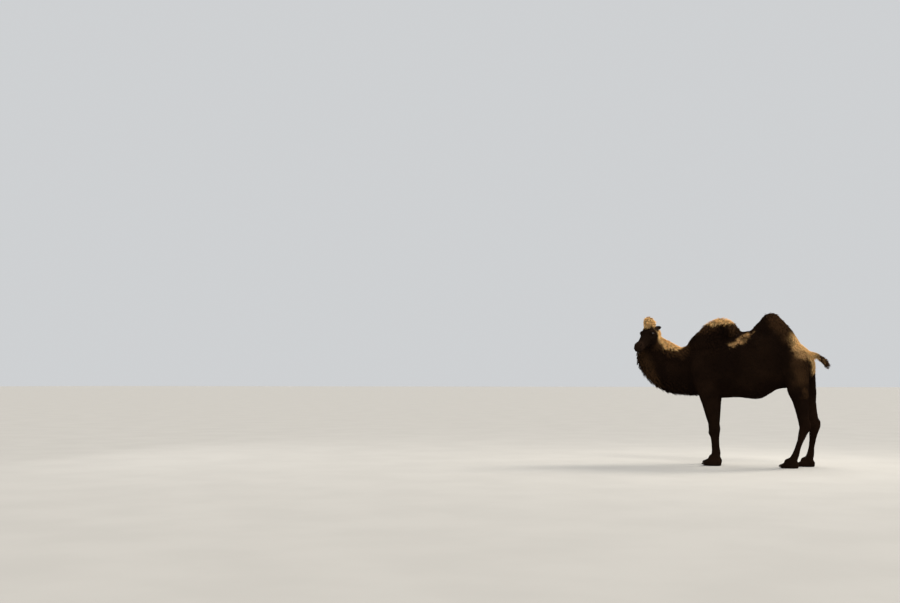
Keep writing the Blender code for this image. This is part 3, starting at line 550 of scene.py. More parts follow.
def makeSkin():
    skin = joinedFlesh()
    applied(skin, "REMESH", mode="VOXEL", voxel_size=skinSettings["voxel"], adaptivity=0)
    shell = BVHTree.FromObject(skin, bpy.context.evaluated_depsgraph_get())
    points = readPoints(skin.data)
    onHead = headWeight(points)
    trunk = smoothStep(0.85, 1.05, points[:, 2]) * smoothStep(1.22, 1.10, points[:, 1])
    softer = (1 - onHead) * (0.3 + 0.7 * trunk)
    smoothed(skin, softer, skinSettings["bodySmooth"])
    smoothed(skin, onHead, skinSettings["headSmooth"])
    print("skin remeshed", len(skin.data.polygons))

    points, normals = readPoints(skin.data), readPoints(skin.data, "normal")
    depth = coatAt(points)[:, 4]
    flatSole = smoothStep(0.030, 0.004, points[:, 2]) * (normals[:, 2] < -0.3)
    moved = points - normals * (depth * (1 - flatSole) + skinSettings["grow"])[:, None]
    moved[:, 2] = np.where(flatSole > 0.9, np.maximum(moved[:, 2], 0.0006), moved[:, 2])
    writePoints(skin.data, moved)
    smoothed(skin, 1 - flatSole, 3)

    group = skin.vertex_groups.new(name="thin")
    thin = 1 - headWeight(readPoints(skin.data))
    group.add(np.flatnonzero(thin > 0.5).tolist(), 1.0, "REPLACE")
    faces = sum(len(p.vertices) - 2 for p in skin.data.polygons)
    inHead = faces * float((thin < 0.5).mean())
    applied(skin, "DECIMATE", ratio=(skinSettings["bodyFaces"] + inHead) / faces, vertex_group="thin")
    skin.vertex_groups.clear()
    print("skin thinned", len(skin.data.polygons))
    refit(skin, shell)

    subdivided(skin, headWeight(readPoints(skin.data)) > 0.5)
    smoothed(skin, headWeight(readPoints(skin.data)), 2)
    for reach in skinSettings["fineReach"]:
        q = toHead(readPoints(skin.data))
        mirrored = onOneSide(q)
        near = (lineGap(mirrored, "mouth") < reach) | (lineGap(mirrored, "nostril") < reach + 0.006)
        near |= lineGap(q, "split") < reach
        near |= np.linalg.norm(mirrored - face["eye"], axis=1) < 0.030 + reach
        subdivided(skin, near)
    q = shapeEyes(shapeEars(toHead(readPoints(skin.data))))
    q = shapeFace(q, turnToHead(readPoints(skin.data, "normal")))
    onHead = headWeight(readPoints(skin.data)) > 0.3
    points = np.where(onHead[:, None], fromHead(q), readPoints(skin.data))
    writePoints(skin.data, points)
    activate(skin)
    bpy.ops.object.shade_smooth()
    print("skin shaped", len(skin.data.polygons))
    return skin


skin = makeSkin()


# shader sums
class Wire:
    # a socket in a material's nodes; sums on it add Math nodes
    def __init__(self, tree, socket=None):
        self.tree = tree
        self.socket = socket

    def node(self, kind, settings=None, inputs=None, output=0):
        made = self.tree.nodes.new("ShaderNode" + kind)
        for name, value in (settings or {}).items():
            setattr(made, name, value)
        for name, value in (inputs or {}).items():
            if isinstance(value, Wire):
                self.tree.links.new(value.socket, made.inputs[name])
            else:
                made.inputs[name].default_value = value
        return Wire(self.tree, made.outputs[output])

    def math(self, operation, first, second=0.0):
        return self.node("Math", {"operation": operation}, {0: first, 1: second})

    def vector(self, operation, other=(0, 0, 0), output=0):
        return self.node("VectorMath", {"operation": operation}, {0: self, 1: other}, output)

    def __add__(self, other):
        return self.math("ADD", self, other)

    def __radd__(self, other):
        return self.math("ADD", other, self)

    def __sub__(self, other):
        return self.math("SUBTRACT", self, other)

    def __rsub__(self, other):
        return self.math("SUBTRACT", other, self)

    def __mul__(self, other):
        return self.math("MULTIPLY", self, other)

    def __rmul__(self, other):
        return self.math("MULTIPLY", other, self)

    def __pow__(self, other):
        return self.math("POWER", self, other)

    def most(self, other):
        return self.math("MAXIMUM", self, other)

    def part(self, index):
        # one of a vector's three numbers
        return self.vector("DOT_PRODUCT", tuple(float(index == axis) for axis in range(3)), 1)

    def noise(self, scale, detail, roughness=0.5):
        inputs = {"Vector": self, "Scale": scale, "Detail": detail, "Roughness": roughness}
        return self.node("TexNoise", inputs=inputs)

    def kept(self):
        # held between 0 and 1
        return self.node("Clamp", inputs={"Value": self})

    def between(self, low, high):
        # 0 under low, 1 over high, smooth between
        settings = {"interpolation_type": "SMOOTHSTEP"}
        return self.node("MapRange", settings, {"Value": self, "From Min": low, "From Max": high})

    def over(self, below, colour):
        # colour laid over the one below, by this mask
        return self.node("MixRGB", {"blend_type": "MIX"}, {"Fac": self, "Color1": below, "Color2": colour})


def newMaterial(name):
    made = bpy.data.materials.new(name)
    made.use_nodes = True
    tree = made.node_tree
    return made, tree.nodes["Principled BSDF"], Wire(tree)


def field(start, name, output=2):
    # one of the piece's own attributes, a number, or a vector with output 1
    return start.node("Attribute", {"attribute_name": name}, output=output)


def plug(shader, name, value):
    if isinstance(value, Wire):
        value.tree.links.new(value.socket, shader.inputs[name])
    else:
        shader.inputs[name].default_value = value


# markings, the same on skin and coat
# Each stroke is two ends, x from the middle, its radius and how soft its edge is.
marks = {
    "mane": [  # these lean to one side, the rest are on both
        ((0.19, -1.10, 1.94), (0.18, -1.05, 2.02), 0.100, 0.02),  # topknot
        ((0.125, -0.99, 1.88), (0.06, -0.93, 1.78), 0.100, 0.03),
        ((0.055, -0.93, 1.78), (0.035, -0.84, 1.685), 0.130, 0.025),
        ((0.035, -0.84, 1.685), (0.02, -0.74, 1.650), 0.110, 0.025),
        ((0.01, -0.74, 1.655), (0.00, -0.68, 1.650), 0.070, 0.03),
    ],
    "sand": [
        ((0.04, -0.195, 1.968), (0.07, -0.05, 2.005), 0.120, 0.018),  # cap of the front hump
        ((0.12, -0.14, 1.955), (0.14, -0.01, 1.935), 0.064, 0.018),
        ((0.05, 0.86, 1.67), (0.08, 0.94, 1.58), 0.100, 0.070),  # croup
        ((0.05, 0.96, 1.57), (0.05, 1.06, 1.43), 0.074, 0.050),
        ((0.05, 1.08, 1.41), (0.045, 1.10, 1.28), 0.055, 0.045),
        ((0.0, 0.92, 1.62), (0.0, 1.02, 1.51), 0.085, 0.06),
    ],
    "tan": [
        ((0.27, 0.06, 1.635), (0.25, 0.17, 1.675), 0.050, 0.026),  # patch behind the front hump
        ((0.23, 0.17, 1.69), (0.20, 0.22, 1.72), 0.040, 0.024),
        ((0.19, 0.21, 1.735), (0.14, 0.27, 1.78), 0.052, 0.026),
        ((0.15, 0.87, 1.58), (0.17, 0.95, 1.47), 0.066, 0.05),  # side of the croup
        ((0.11, 1.10, 1.47), (0.17, 1.22, 1.42), 0.035, 0.025),  # tail
    ],
    "brown": [
        ((0.16, -0.98, 1.74), (0.03, -0.62, 1.55), 0.140, 0.05),  # under the mane
        ((0.08, 0.03, 1.95), (0.17, 0.10, 1.83), 0.085, 0.04),  # fallen hair behind the front hump
        ((0.0, -0.36, 1.90), (0.0, -0.02, 1.94), 0.165, 0.04),
        ((0.05, 0.62, 1.95), (0.13, 0.80, 1.70), 0.110, 0.06),  # rear slope of the rear hump
        ((0.21, 0.92, 1.50), (0.29, 0.96, 1.16), 0.080, 0.08),  # thigh
        ((0.27, 0.98, 1.00), (0.26, 0.99, 0.94), 0.030, 0.03),  # by the stifle
        ((0.10, 1.08, 1.46), (0.19, 1.24, 1.37), 0.060, 0.04),  # tail
        ((0.10, -1.24, 1.60), (0.10, -1.05, 1.12), 0.080, 0.07),  # throat
    ],
}


def headStroke(start, end, radius, edge):
    # a stroke given in the head's axes
    ends = fromHead(np.array([start, end])) - (middleX, 0, 0)
    return ends[0], ends[1], radius, edge


def earStrokes():
    # the ears are dark, whatever lies round them
    rows = []
    for side in (1, -1):
        root = np.array(face["earRoot"]) * (side, 1, 1)
        out = unit(np.array(face["earOut"]) * (side, 1, 1))
        rows.append(headStroke(root - out * 0.005, root + out * face["earLength"], 0.047, 0.008))
    return rows


marks["ear"] = earStrokes()
marks["face"] = [
    headStroke((0, -0.140, -0.085), (0, -0.300, -0.110), 0.125, 0.022),
    headStroke((0, -0.300, -0.110), (0, -0.480, -0.110), 0.140, 0.022),
    headStroke((0.055, -0.105, -0.110), (0.050, -0.150, -0.165), 0.042, 0.018),
    headStroke((-0.055, -0.105, -0.110), (-0.050, -0.150, -0.165), 0.042, 0.018),
]
coatColours = {
    "ear": (0.020, 0.0115, 0.0075, 1),
    "face": (0.0110, 0.0063, 0.0042, 1),
    "dark": (0.0120, 0.0065, 0.0042, 1),
    "darkWarm": (0.0240, 0.0124, 0.0072, 1),
    "brown": (0.085, 0.044, 0.020, 1),
    "tan": (0.61, 0.365, 0.158, 1),
    "sand": (0.82, 0.495, 0.195, 1),
    "sandPale": (0.94, 0.665, 0.32, 1),
}
# how ragged the markings' edges are, coarse and fine, and the share of it that some have
edgeWobble = {"all": (0.085, 0.035), "tan": 1.9, "brown": 1.6, "face": 0.25, "ear": 0.1}


def strokes(place, rows, wobble):
    # the most of all the strokes at each place
    mask = None
    for start, end, radius, edge in rows:
        start, end = Vector(start), Vector(end)
        span = end - start
        share = place.vector("SUBTRACT", tuple(start))
        share = share.vector("DOT_PRODUCT", tuple(span / span.length_squared), 1).kept()
        nearest = share.node("VectorMath", {"operation": "SCALE"}, {0: tuple(span), "Scale": share})
        distance = place.vector("SUBTRACT", nearest.vector("ADD", tuple(start))).vector("LENGTH", output=1)
        within = 1 - (distance + wobble).between(radius - edge, radius + edge)
        mask = within if mask is None else mask.most(within)
    return mask


def markings(place):
    # the colour at each place, and how far it is one of the pale ones
    beside = place.part(0).math("ABSOLUTE", place.part(0) - middleX)
    mirrored = place.node("CombineXYZ", inputs={"X": beside, "Y": place.part(1), "Z": place.part(2)})
    leaning = place.vector("SUBTRACT", (middleX, 0, 0))
    fine = place.noise(38.0, 2.0)
    wobble = (place.noise(9.0, 3.0, 0.6) - 0.5) * edgeWobble["all"][0] + (fine - 0.5) * edgeWobble["all"][1]
    sand = strokes(mirrored, marks["sand"], wobble).most(strokes(leaning, marks["mane"], wobble))
    tan = strokes(mirrored, marks["tan"], wobble * edgeWobble["tan"])
    brown = strokes(mirrored, marks["brown"], wobble * edgeWobble["brown"])
    front = strokes(leaning, marks["face"], wobble * edgeWobble["face"])
    ear = strokes(leaning, marks["ear"], wobble * edgeWobble["ear"])
    colour = place.noise(3.2, 3.0).between(0.35, 0.75).over(coatColours["dark"], coatColours["darkWarm"])
    colour = (brown * 0.85).over(colour, coatColours["brown"])
    colour = tan.over(colour, coatColours["tan"])
    colour = sand.over(colour, fine.between(0.35, 0.75).over(coatColours["sand"], coatColours["sandPale"]))
    colour = front.over(colour, coatColours["face"])
    return ear.over(colour, coatColours["ear"]), sand.most(tan) * (1 - ear.most(front))


print("shader sums ready")


# finishes
skinFinish = {
    "muzzle": (0.0165, 0.0094, 0.0060, 1),
    "nose": (0.0125, 0.0076, 0.0052, 1),
    "earInside": (0.027, 0.016, 0.0105, 1),
    # painted shade in the nostrils, mouth line and split of the lip, and the dark skin of the lid rims
    "hollow": (0.0030, 0.0020, 0.0016, 1),
    "paintedHairShade": (0.005, 0.0029, 0.0020, 1),  # painted shade between the hairs and under the wool
    "tips": (1.5, 1.42, 1.32),  # how much paler the raised hair streaks are: paler hair tips with a painted highlight
    "specular": 0.001,
    "hairFine": 430.0,
}
coatFinish = {
    "root": (0.0066, 0.0037, 0.0024, 1),
    "tips": (1.8, 1.62, 1.45),
    "tipsLift": (0.006, 0.0033, 0.0018),
    "tipBleach": 0.60,
    "rootShade": 0.75,
    "specular": 0.014,
}
eyeFinish = {
    "iris": ((0.009, 0.0042, 0.0022, 1), (0.022, 0.0100, 0.0045, 1)),
    "rim": (0.006, 0.0036, 0.0028, 1),
    "white": (0.030, 0.018, 0.013, 1),
    "pupil": (0.003, 0.0025, 0.003, 1),
    "roughness": 0.05,
    "specular": 0.09,
}
nailFinish = {
    "horn": ((0.012, 0.0088, 0.0064, 1), (0.034, 0.025, 0.018, 1)),
    "scuff": (0.070, 0.052, 0.036, 1),
    "specular": 0.12,
}


def makeSkinMaterial():
    made, shader, start = newMaterial("skinUnderCoat")
    place = start.node("TexCoord", output=3)
    colour = markings(place)[0]

    def hairs(at, scale, turn=0.0):
        turned = at.node("Mapping", inputs={"Vector": at, "Rotation": (turn, 0, 0), "Scale": scale})
        return turned.noise(skinFinish["hairFine"], 3.0, 0.6)

    # hair that hangs down, hair that lies back and the head's hair
    share = field(start, "lieShare", 1)
    height = hairs(place, (1, 1, 0.10)) * share.part(0)
    height = height + hairs(place, (1, 0.10, 1), math.radians(32)) * share.part(1)
    height = height + hairs(field(start, "headPlace", 1), (1, 0.12, 1)) * share.part(2)
    wool, bare = field(start, "wool"), field(start, "bare")
    # paler hair tips with a painted highlight, on the raised streaks of the hair bump
    tips = colour.vector("MULTIPLY", skinFinish["tips"])
    colour = (height.between(0.52, 0.72) * 0.5 * (1 - wool)).kept().over(colour, tips)
    # painted shade: the whole skin darkened as if in the coat's shade, most between the hairs and under the
    # wool
    paintedHairShade = height.between(0.60, 0.34) * 0.44 + wool * 0.20 + 0.34
    colour = paintedHairShade.kept().over(colour, skinFinish["paintedHairShade"])
    colour = (field(start, "muzzle") * 0.75).over(colour, skinFinish["muzzle"])
    colour = bare.over(colour, skinFinish["nose"])
    # painted shade in the nostrils, mouth line and split of the lip, and the dark lid rims
    colour = (field(start, "hollow") * 0.9).over(colour, skinFinish["hollow"])
    colour = (field(start, "earInside") * 0.8).over(colour, skinFinish["earInside"])
    pores = place.node("TexVoronoi", inputs={"Vector": place, "Scale": 520.0})
    height = height * (1 - bare) + (pores * 0.10 + place.noise(160.0, 5.0) * 0.45) * bare
    plug(shader, "Base Color", colour)
    plug(shader, "Roughness", 0.95 - bare * 0.28)
    plug(shader, "Specular IOR Level", skinFinish["specular"])
    plug(shader, "Normal", place.node("Bump", inputs={"Height": height, "Strength": 0.7, "Distance": 0.0022}))
    return made


def makeCoatMaterial():
    made, shader, start = newMaterial("coatHair")
    colour, pale = markings(field(start, "rootPlace", 1))
    # each tuft's numbers: how far along it and across it, and its own tone
    numbers = field(start, "tuft", 1)
    along, tone = numbers.part(0), numbers.part(2)
    wool = field(start, "wool")
    strands = numbers.node("Mapping", inputs={"Vector": numbers, "Scale": (0.8, 7.0, 40.0)})
    strands = strands.noise(1.0, 2.0).between(0.38, 0.62)
    shade = (1 - along).between(0.30, 1.0) * (wool * 0.9 + 0.1) * coatFinish["rootShade"]
    shade = (shade + (tone * 0.32 + strands * 0.20) * (wool * 0.8 + 0.2)) * (1 - pale * 0.45)
    colour = shade.kept().over(colour, coatFinish["root"])
    bleach = along.between(0.40, 1.0) * (1.0 - tone * 0.8) * (wool * 0.6 + 0.4) * coatFinish["tipBleach"]
    tips = colour.vector("MULTIPLY", coatFinish["tips"]).vector("ADD", coatFinish["tipsLift"])
    plug(shader, "Base Color", bleach.kept().over(colour, tips))
    plug(shader, "Roughness", 0.92 - strands * 0.10)
    plug(shader, "Specular IOR Level", coatFinish["specular"])
    return made


def makeEyeMaterial():
    made, shader, start = newMaterial("eyeGloss")
    place = field(start, "gaze", 1)
    across, height = place.part(0), place.part(1)
    away = (across * across + height * height) ** 0.5
    colour = place.vector("NORMALIZE").noise(14.0, 4.0).between(0.3, 0.7).over(*eyeFinish["iris"])
    colour = away.between(0.72, 0.86).over(colour, eyeFinish["rim"])
    colour = away.between(1.02, 1.20).over(colour, eyeFinish["white"])
    pupil = (across * across * 4.2 + height * height * 17.0).between(0.9, 0.62)
    plug(shader, "Base Color", pupil.over(colour, eyeFinish["pupil"]))
    plug(shader, "Roughness", eyeFinish["roughness"])
    plug(shader, "Specular IOR Level", eyeFinish["specular"])
    return made


def makeNailMaterial():
    made, shader, start = newMaterial("toenailHorn")
    place = start.node("TexCoord", output=3)
    grain = place.node("Mapping", inputs={"Vector": place, "Scale": (1.0, 0.12, 0.12)}).noise(420.0, 4.0)
    colour = grain.between(0.3, 0.7).over(*nailFinish["horn"])
    scuffs = place.noise(95.0, 5.0).between(0.55, 0.75)
    plug(shader, "Base Color", (scuffs * 0.5).over(colour, nailFinish["scuff"]))
    plug(shader, "Roughness", grain * 0.25 + 0.50)
    plug(shader, "Specular IOR Level", nailFinish["specular"])
    plug(shader, "Normal", place.node("Bump", inputs={"Height": grain, "Strength": 0.5, "Distance": 0.0008}))
    return made


skinMaterial = makeSkinMaterial()
coatMaterial = makeCoatMaterial()
eyeMaterial = makeEyeMaterial()
nailMaterial = makeNailMaterial()
print("finishes ready")


def setAttribute(mesh, name, kind, values):
    data = mesh.attributes.new(name, kind, "POINT").data
    data.foreach_set("vector" if kind == "FLOAT_VECTOR" else "value", np.asarray(values, np.float32).ravel())


def paintSkin():
    points = readPoints(skin.data)
    q = toHead(points)
    mirrored = onOneSide(q)
    onHead = headWeight(points)
    nose = smoothStep(-0.475, -0.505, mirrored[:, 1])
    mouth, nostril = lineGap(mirrored, "mouth"), lineGap(mirrored, "nostril")
    lips = hill(mouth, 0.006)
    holes = smoothStep(0.010, 0.004, nostril)
    rims, inner = np.zeros(len(points)), np.zeros(len(points))
    for side in (1, -1):
        far, toOut, margin = eyeAngles(q, side)[:3]
        rims = np.maximum(rims, smoothStep(0.0045, 0.0015, margin) * (toOut > 0) * (far < 0.04))
        share, across, depth, front = earSpace(q, side)
        near = (share > 0.1) & (share < 1.0) & (np.abs(across) < 0.032) & (np.abs(depth) < 0.03)
        facing = turnToHead(readPoints(skin.data, "normal")) @ front
        inner = np.maximum(inner, near * smoothStep(0.25, 0.6, facing))
    bare = np.clip(np.maximum.reduce([nose * 0.35, lips * 0.8, holes, rims]), 0, 1) * onHead
    sole = smoothStep(0.016, 0.004, points[:, 2])
    fields = coatAt(points)
    lie = unit(fields[:, :3])
    down = smoothStep(0.78, 0.95, -lie[:, 2]) * (1 - onHead)
    # where painted shade goes: the nostrils, mouth line and split of the lip, and the dark lid rims
    hollow = np.maximum(smoothStep(0.0075, 0.0030, nostril), hill(mouth, 0.0032))
    hollow = np.maximum.reduce([hollow, hill(lineGap(q, "split"), 0.0026) * 0.7, rims * 0.8])
    setAttribute(skin.data, "hollow", "FLOAT", np.clip(hollow, 0, 1) * onHead)
    setAttribute(skin.data, "muzzle", "FLOAT", smoothStep(-0.36, -0.44, q[:, 1]) * onHead)
    setAttribute(skin.data, "bare", "FLOAT", np.maximum(bare, sole))
    setAttribute(skin.data, "earInside", "FLOAT", inner * onHead)
    setAttribute(skin.data, "wool", "FLOAT", woolShare(fields[:, 3]))
    setAttribute(skin.data, "lieShare", "FLOAT_VECTOR", np.column_stack([down, 1 - down - onHead, onHead]))
    setAttribute(skin.data, "headPlace", "FLOAT_VECTOR", q)
    skin.data.materials.append(skinMaterial)


paintSkin()
deselect()
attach(skin, "root")
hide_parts(*[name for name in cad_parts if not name.startswith(("eye_", "toenail_"))])


# eyes
eyeball = {"segments": 56, "rings": 36, "play": 0.0003, "cornea": 0.0016, "corneaEdge": (0.62, 0.2)}


def makeEye(name, side):
    deselect()
    radius = face["eyeRadius"] - eyeball["play"]
    segments, rings = eyeball["segments"], eyeball["rings"]
    bpy.ops.mesh.primitive_uv_sphere_add(segments=segments, ring_count=rings, radius=radius)
    eye = bpy.context.object
    eye.name = eye.data.name = "eyeball_" + name
    bpy.ops.object.shade_smooth()
    local = unit(readPoints(eye.data))
    middle, out, front, up = eyeAxes(side)
    away = np.arccos(np.clip(local @ out, -1, 1))
    raised = radius + eyeball["cornea"] * smoothStep(*eyeball["corneaEdge"], away)
    sheet = unit(np.stack([local @ front, local @ up], axis=1)) * away[:, None]
    writePoints(eye.data, fromHead(middle + local * raised[:, None]))
    setAttribute(eye.data, "gaze", "FLOAT_VECTOR", np.column_stack([sheet, np.zeros(len(sheet))]))
    eye.data.materials.append(eyeMaterial)
    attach(eye, "root")
    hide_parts("eye_" + name)


for name, side in sides.items():
    makeEye(name, side)
print("eyes ready")

# toenails: one shape, copied for each toe
nailShape = {
    "wide": 0.0215,
    "long": 0.026,
    "high": 0.0185,
    "flatUnder": -0.0135,
    "taper": 0.25,
    "slope": 0.30,
    "drop": 0.35,
    "ridges": 14,
    "ridge": 0.0004,
    "turnOut": 7,  # degrees
    "raise": 0.001,
}


def makeNail():
    deselect()
    bpy.ops.mesh.primitive_uv_sphere_add(segments=32, ring_count=20, radius=1, rotation=(math.pi / 2, 0, 0))
    nail = bpy.context.object
    bpy.ops.object.transform_apply(location=False, rotation=True, scale=False)
    x, y, z = readPoints(nail.data).T
    ahead = np.clip(-y, 0, 1)
    wide = x * nailShape["wide"] * (1 - nailShape["taper"] * ahead**2)
    high = z * nailShape["high"] * (1 - nailShape["slope"] * ahead)
    high = high - nailShape["drop"] * nailShape["high"] * ahead**2
    ridges = nailShape["ridge"] * np.cos(np.arctan2(x, z) * nailShape["ridges"]) * (z > 0)
    high = np.maximum(high + ridges, nailShape["flatUnder"])
    writePoints(nail.data, np.column_stack([wide, y * nailShape["long"], high]))
    bpy.ops.object.shade_smooth()
    return nail


def placeNails(nail):
    for name in [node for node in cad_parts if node.startswith("toenail_")]:
        middle = nodeMiddle(name)
        foot = nodeMiddle("_".join(name.split("_")[1:3]) + "_foot")
        turn = math.copysign(math.radians(nailShape["turnOut"]), middle.x - foot.x)
        copy = placed("nail" + name[len("toenail") :], nail.data.copy())
        lifted = Matrix.Translation(middle + Vector((0, 0, nailShape["raise"])))
        copy.data.transform(lifted @ Matrix.Rotation(turn, 4, "Z"))
        copy.data.materials.append(nailMaterial)
        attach(copy, "root")
        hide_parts(name)
    bpy.data.objects.remove(nail)


placeNails(makeNail())
print("toenails ready")

# coat
coatSettings = {
    "seed": 11,
    "lengths": (0.004, 0.010, 0.018, 0.028, 0.045, 0.060),  # for each length of hair:
    "cover": (0.40, 0.36, 0.48, 1.50, 3.60, 4.40),  # how many tufts lie over each place
    "widths": (0.0011, 0.0015, 0.0021, 0.0027, 0.0029, 0.0033),
    "clumps": (0.006, 0.008, 0.012, 0.016, 0.024, 0.030),  # how far apart the locks are
    "twoRingsFrom": 0.031,  # length of hair from which a tuft has two rings of vertices
    "threeRingsFrom": 0.040,
    "topknotRings": 5,
    "faceShare": 0.4,  # of the tufts on the short hair of the face
    "patch": 0.003,  # of the unwrap, for each tuft
    "unwrapFaces": 2600,
    "most": 186000,  # triangles in one piece
    "all": 1460000,
}


def triangles(mesh):
    mesh.calc_loop_triangles()
    return readNumbers(mesh.loop_triangles, "vertices", 3, np.int32)


def byLength(what, length):
    return np.interp(length, coatSettings["lengths"], coatSettings[what])


# how far from each of these no hair grows
bareReach = {"nostril": 0.0065, "mouth": 0.0035, "lids": 0.0028, "sole": 0.012, "toenail": 0.026}


def hairFree(q, points, normals):
    # True where no hair grows
    mirrored = onOneSide(q)
    bare = lineGap(mirrored, "nostril") < bareReach["nostril"]
    bare |= lineGap(mirrored, "mouth") < bareReach["mouth"]
    for side in (1, -1):
        far, toOut, margin = eyeAngles(q, side)[:3]
        bare |= (margin < bareReach["lids"]) & (toOut > 0) & (far < 0.045)
    bare |= (points[:, 2] < bareReach["sole"]) & (normals[:, 2] < 0.2)
    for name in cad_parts:
        if name.startswith("toenail_"):
            middle = np.array(nodeMiddle(name)) + (0, 0.004, 0)
            bare |= np.linalg.norm(points - middle, axis=1) < bareReach["toenail"]
    return bare


def sampleRoots(rng):
    # roots spread over the skin, closer together where the hair is short
    mesh = skin.data
    points, normals = readPoints(mesh), readPoints(mesh, "normal")
    faces = triangles(mesh)
    a, b, c = (points[faces[:, i]] for i in range(3))
    area = np.linalg.norm(np.cross(b - a, c - a), axis=1) / 2
    length = coatAt(points)[faces[:, 0], 3]
    wanted = byLength("cover", length) * area / (length * byLength("widths", length) * 0.62)
    onFace = (length < 0.014) & (headWeight(points)[faces[:, 0]] > 0.5)
    wanted *= np.where(onFace, coatSettings["faceShare"], 1)
    count = rng.poisson(wanted)
    corner = np.repeat(faces, count, axis=0)
    u, v = rng.random(len(corner)), rng.random(len(corner))
    u, v = np.where(u + v > 1, 1 - u, u), np.where(u + v > 1, 1 - v, v)
    share = np.column_stack([1 - u - v, u, v])[:, :, None]
    roots = (points[corner] * share).sum(axis=1)
    ways = unit((normals[corner] * share).sum(axis=1))
    keep = ~hairFree(toHead(roots), roots, ways)
    return roots[keep], ways[keep]


def makeLocks(rng, roots, length):
    # for each tuft: the middle of its lock, and the lock's number
    step = 2.0 ** np.round(np.log2(byLength("clumps", length)))
    cells = np.floor(roots / step[:, None] + rng.random(3)).astype(np.int64)
    keys = (cells[:, 0] * 73856093) ^ (cells[:, 1] * 19349663) ^ (cells[:, 2] * 83492791)
    first = np.unique(keys ^ (step * 1e5).astype(np.int64), return_index=True)[1]
    tree = KDTree(len(first))
    for number, index in enumerate(first):
        tree.insert(tuple(roots[index]), number)
    tree.balance()
    lock = np.array([tree.find(tuple(root))[1] for root in roots])
    members = np.maximum(np.bincount(lock, minlength=len(first)), 1)
    middles = np.column_stack([np.bincount(lock, roots[:, axis], len(first)) / members for axis in range(3)])
    return middles[lock], lock


tuftShape = {
    "length": (0.72, 0.42),  # the least share of the coat's length, and how much more a lock can have
    "lengthSpread": (0.88, 1.08),  # from tuft to tuft
    "swing": (0.55, 1.1),  # how far a lock turns from the lie, and how much further where it curls
    "stray": (0.05, 0.10),  # the same for each tuft of a lock
    "widthSpread": (0.75, 1.2),
    "rise": (0.65, 0.6),  # of how far the hair stands out
    "arch": 0.62,
    "turns": (0.6, 0.9),  # how many waves a curly tuft has
    "bend": (0.060, 0.120),  # how far the waves swing, for the tuft's length
    "droop": 0.14,
    "pull": 0.78,  # how far the tips gather to the middle of their lock
    "rootDepth": 0.0010,
    "corners": ((-1, -0.22), (1, -0.22), (0, 0.62)),  # of a ring, across and up, in half widths
    "floor": 0.0004,
}


def tuftMeasure(name, share):
    # a measure of the tufts' shape, its second number multiplied by a share
    least, more = tuftShape[name]
    return least + more * share


def buildTufts(rng, tufts, rings):
    # vertices, faces and each vertex's place along and across its tuft, for tufts with that many rings
    roots, ways, fields, toMiddle, random = (
        tufts[key] for key in ("roots", "ways", "fields", "toMiddle", "random")
    )
    count = len(roots)
    lie, length, stand, curl = fields[:, :3], fields[:, 3], fields[:, 5], fields[:, 6]
    length = length * tuftMeasure("length", random[:, 0]) * rng.uniform(*tuftShape["lengthSpread"], count)
    flat = unit(lie - dots(lie, ways)[:, None] * ways)
    side = np.cross(ways, flat)
    swing = (random[:, 1] - 0.5) * tuftMeasure("swing", curl)
    swing = swing + rng.normal(0, tuftMeasure("stray", curl), count)
    turned, aside = np.cos(swing)[:, None], np.sin(swing)[:, None]
    flat, side = flat * turned + side * aside, side * turned - flat * aside
    width = byLength("widths", length) * rng.uniform(*tuftShape["widthSpread"], count) * tufts["girth"]
    rise = stand * tuftMeasure("rise", random[:, 2])
    turns = tuftMeasure("turns", random[:, 3]) * 2 * np.pi
    phase = random[:, 4] * 2 * np.pi + rng.normal(0, 0.35, count)
    bend = curl * tuftMeasure("bend", random[:, 5])
    pull = (toMiddle - dots(toMiddle, ways)[:, None] * ways) * tuftShape["pull"]
    levels = [0.0, 0.42, 1.0] if rings == 1 else [0.0, *np.linspace(0.16, 0.74, rings), 1.0]

    def spine(t):
        up = length * rise * (1 - (1 - t) ** 1.8) * tuftShape["arch"]
        wave = length * bend * t**0.6 * np.sin(turns * t + phase)
        lift = length * bend * t * np.cos(turns * t + phase)
        droop = length * curl * tuftShape["droop"] * t**2
        line = roots - ways * tuftShape["rootDepth"] + flat * (length * t)[:, None] + pull * t**1.3
        line = line + ways * (up + np.maximum(lift, -up * 0.6))[:, None] + side * wave[:, None]
        return line - np.array([0, 0, 1]) * droop[:, None]

    verts, along, across = [spine(0.0)], [0.0], [0.0]
    for t in levels[1:-1]:
        forward = unit(spine(t + 0.04) - spine(t - 0.04))
        left = unit(np.cross(ways, forward))
        top = np.cross(forward, left)
        half = 0.5 * width * (1 - 0.5 * t**2) * (0.7 + 0.3 * min(t / 0.3, 1))
        for sideways, high in tuftShape["corners"]:
            verts.append(spine(t) + left * (sideways * half)[:, None] + top * (high * half)[:, None])
            along.append(t)
            across.append(sideways * 0.5)
    verts.append(spine(1.0))
    along.append(1.0)
    across.append(0.0)
    each = 2 + 3 * rings
    pattern = [(0, 1, 3), (0, 3, 2), (0, 2, 1)]
    for ring in range(rings - 1):
        low = 1 + 3 * ring
        for i, j in ((2, 0), (1, 2), (0, 1)):
            pattern += [(low + i, low + j, low + 3 + j), (low + i, low + 3 + j, low + 3 + i)]
    last, tip = 3 * rings - 2, each - 1
    pattern += [(last + 2, last, tip), (last + 1, last + 2, tip), (last, last + 1, tip)]
    faces = (np.arange(count)[:, None, None] * each + np.array(pattern)[None]).reshape(-1, 3)
    verts = np.stack(verts, axis=1).reshape(-1, 3)
    verts[:, 2] = np.maximum(verts[:, 2], tuftShape["floor"])
    return verts, faces, np.tile(along, count), np.tile(across, count), each


